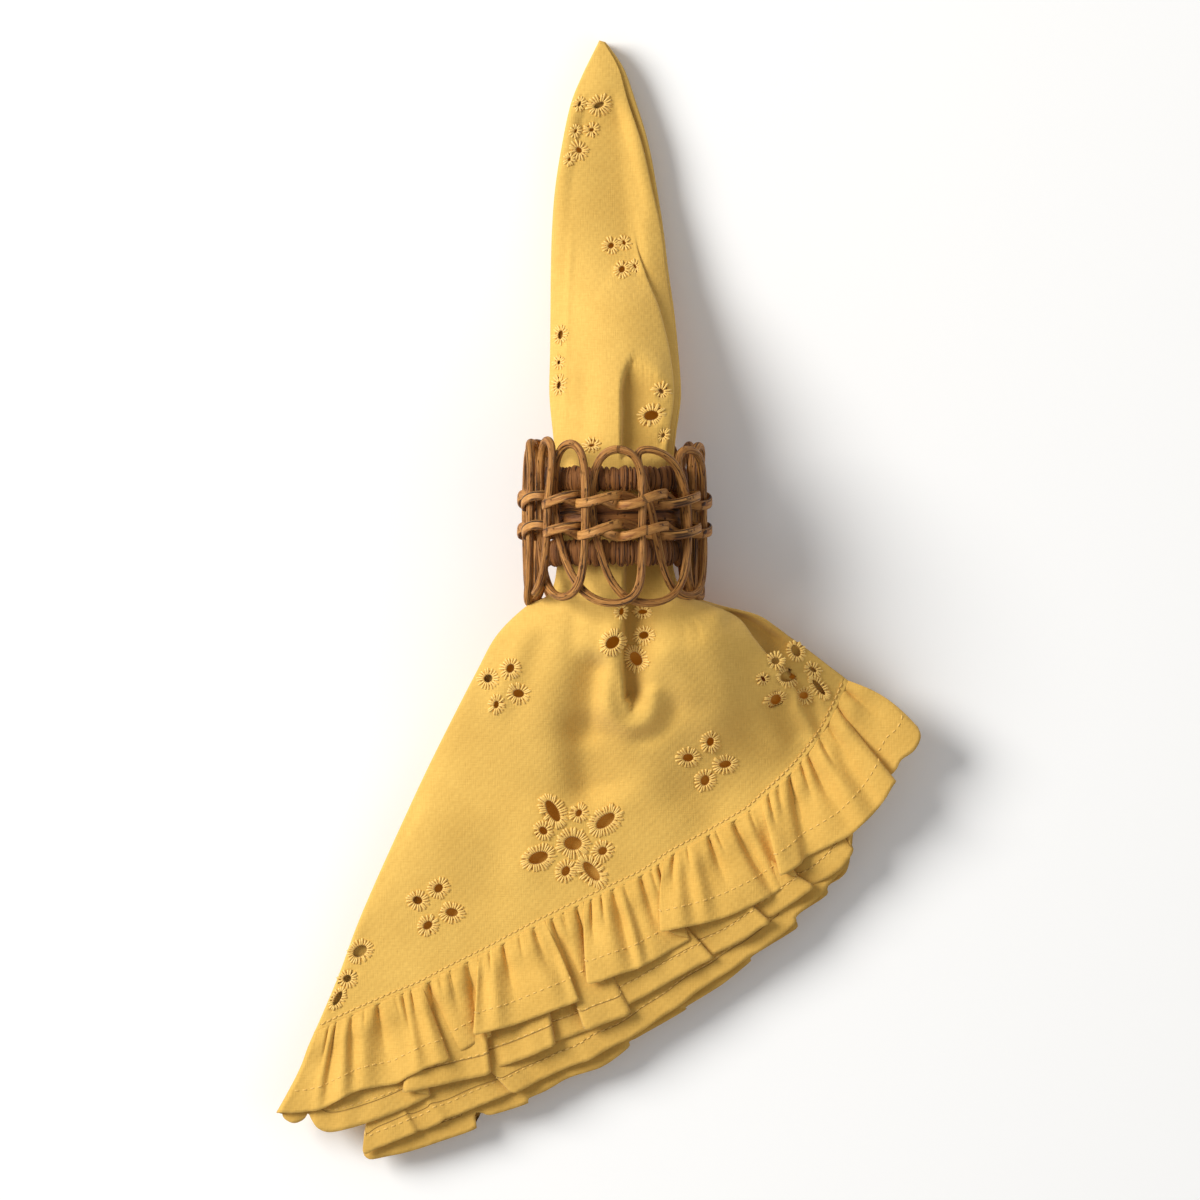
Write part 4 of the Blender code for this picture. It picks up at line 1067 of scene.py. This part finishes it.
shownHems = (frontHem, secondHem, thirdHem, fourthHem)
ruffleSheets = [ruffleShown(k, table, ruffle["columns"][k]) for k, table in enumerate(shownHems)]
ruffleSheets += [ruffleHidden(k) for k in range(4, layers)]
ruffleGrid, ruffleShade = backAndForth(ruffleSheets, ruffle["shades"])
fromHem = np.linalg.norm(ruffleGrid[..., :2] - ruffleGrid[-1:, :, :2], axis=2)
# A dark line of painted shade at the turned-in hem's edge, on the second to fourth layers.
lined = (ruffleShade > 0.1) & (ruffleShade < 0.3)
clothRuffle = addMesh("clothRuffle", ruffleGrid.reshape(-1, 3), gridFaces(*ruffleGrid.shape[:2]),
                      ruffleCotton, uv=ruffleGrid[..., :2].reshape(-1, 2) * mm,
                      marks={"shade": ruffleShade,
                             "fromLine": np.where(lined, fromHem - ruffle["foldLine"], 50.0)})
addThickness(clothRuffle, ruffle["thickness"])
print("ruffle made", ruffleGrid.shape)


stitching = {
    "length": 1.8,
    "thick": 0.55,
    "stand": 0.3,
    "dip": 0.30,
    "pitch": 2.1,
    "inset": 1.7,  # from the panel's edge to its row
    "hemPitch": 2.6,
    "hemRows": ((0, 0.72), (1, 0.80), (2, 0.80), (3, 0.80)),  # ruffle layer, share of the way down
    "hemSink": 0.08,
}


def stitchShape():
    # A short thread with rounded ends that dips at both.
    along = np.linspace(-1, 1, threadMesh["sections"])[:, None]
    plump = np.sqrt(np.clip(1 - along**6, 0.02, 1)) * stitching["thick"] / 2
    turn = np.linspace(0, fullTurn, threadMesh["round"], endpoint=False)
    x = along * stitching["length"] / 2 + 0 * turn
    z = plump * np.sin(turn) - stitching["dip"] * along**4
    return np.stack([x, plump * np.cos(turn), z], axis=-1).reshape(-1, 3), threadFaces()


def stitchRow(path, pitch):
    # Frames and places of stitches one after another along a path that lies on the cloth.
    travelled = travelledAlong(path)
    places = np.arange(pitch * 0.5, travelled[-1] - pitch * 0.5, pitch)
    origin, ahead, behind = (np.stack([np.interp(places + move, travelled, column) for column in path.T],
                                      axis=1) for move in (0, 0.6, -0.6))
    forward = unit(ahead - behind)
    side = unit(np.cross((0, 0, 1), forward))
    up = np.cross(forward, side)
    return np.stack([forward, side, up], axis=2), origin + up * stitching["stand"]


def sheetLine(sheet, down):
    # The line at one share of the way down a ruffle layer.
    place = down * (sheet.shape[0] - 1)
    first = int(place)
    return sheet[first] + (place - first) * (sheet[first + 1] - sheet[first])


def makeStitches():
    # One row inside the panel's edge, and one along the hem of each ruffle layer that shows.
    edge = topSheet[-1]
    inward = topSheet[-3] - edge
    along = unit(np.gradient(edge, axis=0)[:, :2])
    square = np.stack([-along[:, 1], along[:, 0]], axis=1)
    inward = inward / (inward[:, :2] * square).sum(axis=1)[:, None]
    rows = [stitchRow(edge + inward * stitching["inset"], stitching["pitch"])]
    for layer, down in stitching["hemRows"]:
        line = sheetLine(ruffleSheets[layer], down) - (0, 0, stitching["hemSink"])
        rows.append(stitchRow(line, stitching["hemPitch"]))
    places = [np.concatenate(column) for column in zip(*rows)]
    points, faces = copiesOf(*stitchShape(), places)
    return addMesh("seamAndHemStitches", points, faces, sewingThread)


seamStitches = makeStitches()
print("stitches made")


ring = {
    "centre": (0.0, 105.9, 31.05),
    "loops": 13,
    "meanRadius": 27.0,
    "height": 52.4,
    "sweep": 17.8,
    "stepOut": 1.75,
    "lean": 3.2,
    "phase": -88.4,
    "cane": 1.32,
    "canePoints": 72,
    "caneSides": 14,
    "twineHeights": (7.1, -2.6),
    "twineSwing": 1.6,
    "twineWidth": 3.1,
    "twineThick": 1.2,
    # level, thickness and width of each hoop, and the turns of its winding
    "hoops": ((13.9, 3.2, 8.2, 66), (2.3, 2.4, 8.4, 0), (-9.7, 3.2, 8.6, 60)),
    "clearance": 0.3,  # between the loops and what is twined or set inside them
}

# The hand-bent loops are uneven. For each, from the one at the middle of the front: how far its
# top, its left leg, its bottom and the next loop's right leg are moved along the ring, how much
# its top and bottom are raised, and how thick its cane is beside the usual.
loopRows = (
    # top, leftLeg, bottom, nextRightLeg, topUp, bottomUp, thick
    (0.0, -3.7, 0.8, 5.0, -3.0, 0.3, 1.0), (-2.6, 4.2, 5.0, 6.0, -3.0, 2.6, 0.96),
    (1.5, 6.8, 4.5, 4.0, -2.9, 2.0, 1.0), (3.0, 4.0, 3.0, 2.0, -1.5, 1.0, 1.05),
    (2.0, 1.5, 1.0, 1.0, -1.0, 0.5, 1.0), (0.5, 0.5, 0.3, 0.0, -0.6, 0.0, 0.96),
    (0.0, 0.0, 0.0, -0.3, -0.8, 0.4, 1.02), (-0.4, -0.6, -0.5, -0.8, -0.4, 0.0, 1.0),
    (-1.0, -1.0, -1.2, -1.4, -1.0, 0.6, 0.95), (-1.6, -1.8, -2.0, -2.2, -0.5, 0.2, 1.05),
    (-1.0, -2.0, -5.0, -4.6, -0.5, 3.6, 1.0), (0.0, -4.1, -2.6, -4.3, 0.0, 2.3, 1.0),
    (-2.8, -6.2, 1.8, 0.7, -1.2, 0.3, 1.04),
)

# How far each crossing of the split canes is moved along the ring, from the one to the right of
# the middle loop.
twineMoves = (0.3, 4.2, 5.0, 3.5, 1.5, 0.3, 0.0, -0.5, -1.0, -1.6, -2.0, -1.0, -1.2)


def onRing(angle, radius, height):
    # From turn, radius and height along the ring's axis to the part's own place.
    x, y, z = ring["centre"]
    return np.stack([x + radius * np.cos(angle), y + height, z - radius * np.sin(angle)], axis=-1)


def squareness(value, power):
    # A sine or cosine made squarer, with its sign kept.
    return np.sign(value) * np.abs(value) ** power


def tube(path, radii, sides, thick=1, wide=1, power=1):
    # A round or squarer skin along a closed path: at each point a circle square to the path, held
    # steady by the direction away from the ring's axis. uv runs along the cane and round it, in
    # metres.
    forward = unit(np.roll(path, -1, axis=0) - np.roll(path, 1, axis=0))
    outward = unit((path - np.array(ring["centre"])) * (1, 0, 1))
    side = unit(np.cross(forward, outward))
    outward = np.cross(side, forward)
    turn = np.linspace(0, fullTurn, sides, endpoint=False)
    radii = (np.zeros(len(path)) + radii)[:, None]
    across = squareness(np.cos(turn), power)[None, :, None] * side[:, None] * wide
    out = squareness(np.sin(turn), power)[None, :, None] * outward[:, None] * thick
    points = path[:, None] + radii[..., None] * (across + out)
    steps = np.linalg.norm(np.diff(path, axis=0, append=path[:1]), axis=1)
    along = np.cumsum(steps)[:, None] - steps[0] + 0 * turn
    around = turn[None] / fullTurn * np.mean(radii) * 6.3 + 0 * along
    return points, np.stack([along, around], axis=-1)


def addCane(name, points, uv, material):
    # A closed skin of rows of points as one mesh.
    faces = gridFaces(*points.shape[:2], closedRows=True, closedColumns=True)
    return addMesh(name, points.reshape(-1, 3), faces, material, uv=uv.reshape(-1, 2) * mm)


def loopPath():
    # One long cane: sideways it moves on by a loop's pitch and swings back and forth once a loop;
    # its height is a cosine; it lies outside on its way up and inside on its way down.
    steps = ring["loops"] * ring["canePoints"]
    turn = np.arange(steps) / ring["canePoints"]
    rows = np.array(loopRows)
    moves = closedCurve(rows[:, :4].ravel(), turn * 4)
    up = closedCurve(rows[:, 4:6].ravel(), turn * 2)
    thick = closedCurve(rows[:, 6], turn)
    swing = np.sin(fullTurn * turn)
    drop = (1 - np.cos(fullTurn * turn)) / 2
    pitch = fullTurn * ring["meanRadius"] / ring["loops"]
    broad = np.tanh(1.3 * swing) / math.tanh(1.3)
    sideways = pitch * turn - ring["sweep"] / 2 * broad + ring["lean"] * drop + moves
    radius = ring["meanRadius"] - ring["stepOut"] * np.tanh(2.2 * swing)
    height = ring["height"] * (0.5 - drop) + up * np.abs(1 - 2 * drop)
    wander = 0.22 * np.sin(turn * 9.7 + 1) + 0.16 * np.sin(turn * 23.1)
    angle = math.radians(ring["phase"]) + (sideways + wander) / ring["meanRadius"]
    return onRing(angle, radius, height), ring["cane"] * thick * (1 + 0.05 * np.sin(turn * 31))


def makeLoops():
    # The long cane as a round skin.
    return addCane("caneLoops", *tube(*loopPath(), ring["caneSides"]), loopCane)


def makeTwine(name, level):
    # A flat split cane twice round the ring: outside one pair of loop sides and inside the next,
    # a little higher on one crossing than the other.
    stepOut = ring["stepOut"] + ring["cane"] + ring["clearance"] + ring["twineThick"] / 2
    turns = 2 * ring["loops"]
    steps = np.arange(turns * 26) / 26
    lean = ring["lean"] * (0.5 - level / ring["height"]) / ring["meanRadius"]
    start = math.radians(ring["phase"]) + math.pi / ring["loops"] + lean
    moves = closedCurve(twineMoves, steps)
    angle = start + fullTurn * steps / ring["loops"] + moves / ring["meanRadius"]
    radius = ring["meanRadius"] + stepOut * squareness(np.cos(math.pi * steps), 0.5)
    uneven = 0.35 * np.sin(steps * 2.3 + level) + 0.25 * np.sin(steps * 5.1)
    height = level + ring["twineSwing"] * np.sin(math.pi * steps) + uneven
    path = onRing(angle, radius, height)
    path[:, 2] = np.maximum(path[:, 2], ring["twineThick"] / 2 + 0.1)
    return addCane(name, *tube(path, 0.5, 12, ring["twineThick"], ring["twineWidth"], 0.6), splitCane)


def makeHoop(name, level, thick, width, wraps):
    # An oval hoop just inside the loops; a wrapped one swells at each turn of its winding.
    steps = 1100 if wraps else 240
    angle = np.linspace(0, fullTurn, steps, endpoint=False)
    inner = ring["meanRadius"] - ring["stepOut"] - ring["cane"] - ring["clearance"] - thick / 2
    turn = np.linspace(0, fullTurn, 16, endpoint=False)
    uneven = 0.9 * np.sin(angle * 11 + level) + 0.8 * np.sin(angle * 19) + 0.6 * np.sin(angle * 5)
    slant = (0.35 + 0.5 * np.sin(angle * 7 + level))[:, None]
    phase = angle[:, None] * wraps / 2 + uneven[:, None] + slant * np.cos(turn)[None]
    wave = np.abs(np.sin(phase)) ** 0.45 if wraps else 1 + 0.3 * np.sin(angle * 13)[:, None]
    lump = 0.07 * np.sin(angle * 17 + 1)[:, None]
    swell = 0.66 + lump + 0.34 * wave + 0 * (angle[:, None] + turn)
    groove = 1 if wraps else 0.25 + 1.1 * np.abs(np.cos(turn))[None]
    radius = inner + thick / 2 * np.sin(turn)[None] * swell * groove
    height = level + width / 2 * np.cos(turn)[None] * swell
    points = onRing(angle[:, None] + 0 * turn, radius, height)
    along, around = angle[:, None] * inner + 0 * turn, turn[None] + 0 * angle[:, None]
    uv = np.stack([around * 3, along] if wraps else [along, around * 1.2], axis=-1)
    return addCane(name, points, uv, woundCane)


caneLoops = makeLoops()
twineUpper = makeTwine("twineUpper", ring["twineHeights"][0])
twineLower = makeTwine("twineLower", ring["twineHeights"][1])
hoopNames = ("hoopUpper", "hoopMiddle", "hoopLower")
hoopUpper, hoopMiddle, hoopLower = (makeHoop(name, *row) for name, row in zip(hoopNames, ring["hoops"]))
print("ring made")


for piece in (clothPanel, clothRuffle, eyeletRings, eyeletStitches, seamStitches, caneLoops, twineUpper,
              twineLower, hoopUpper, hoopMiddle, hoopLower):
    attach(piece, "root")

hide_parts("napkin_panel")
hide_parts("napkin_ruffle")
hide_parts("ring_loops")
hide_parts("ring_twine_upper")
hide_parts("ring_twine_lower")
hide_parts("ring_core_upper")
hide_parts("ring_core_middle")
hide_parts("ring_core_lower")


studio = {
    "floor": (0.96, 0.96, 0.96),
    "floorHalf": 2500,
    "floorHeight": -0.4,
    "cameraHeight": 3.2,
    "aim": (-4.7, 81.0),
    "span": 388.8,
    "aimHeight": 12.0,
    "sensor": 36,
    "lightsAim": (0.0, 0.08, 0.02),
    "lights": (
        # name, place, size, power, colour
        ("keyLight", (-2.0, 0.85, 1.65), 1.5, 84, (1, 0.985, 0.95)),
        ("fillLight", (1.2, -0.4, 1.6), 1.4, 2.5, (0.97, 0.98, 1)),
    ),
    "air": 0.38,
}


def makeFloor():
    # One wide flat face just under the part.
    made, _, shader = newMaterial("paleFloor", 0.9)
    shader.inputs["Base Color"].default_value = (*studio["floor"], 1)
    corners = np.array(((-1, -1), (1, -1), (1, 1), (-1, 1))) * studio["floorHalf"]
    points = np.column_stack([corners, np.full(4, studio["floorHeight"])])
    floor = addMesh("paleFloor", points, [(0, 1, 2, 3)], made, smooth=False)


def areaLight(name, place, size, power, colour):
    # A round lamp that points at the part.
    light = bpy.data.lights.new(name, "AREA")
    light.shape = "DISK"
    light.size = size
    light.energy = power
    light.color = colour
    lamp = bpy.data.objects.new(name, light)
    lamp.location = place
    aim = np.array(studio["lightsAim"]) - np.array(place)
    lamp.rotation_euler = Vector(aim).to_track_quat("-Z", "Y").to_euler()
    bpy.context.scene.collection.objects.link(lamp)


def makeCamera():
    # Straight above, with a lens that spans the set width at the aim's height.
    lens = bpy.data.cameras.new("camera")
    lens.sensor_width = studio["sensor"]
    distance = studio["cameraHeight"] - studio["aimHeight"] * mm
    lens.lens = studio["sensor"] * distance / (studio["span"] * mm)
    lens.clip_end = 50
    camera = bpy.data.objects.new("camera", lens)
    camera.location = (studio["aim"][0] * mm, studio["aim"][1] * mm, studio["cameraHeight"])
    bpy.context.scene.collection.objects.link(camera)
    bpy.context.scene.camera = camera


makeFloor()
for lamp in studio["lights"]:
    areaLight(*lamp)
world = bpy.data.worlds.new("studioAir")
bpy.context.scene.world = world
world.use_nodes = True
air = world.node_tree.nodes["Background"]
air.inputs[0].default_value = (1, 1, 1, 1)
air.inputs[1].default_value = studio["air"]
bpy.context.scene.view_settings.view_transform = "Standard"
makeCamera()
print("studio ready")
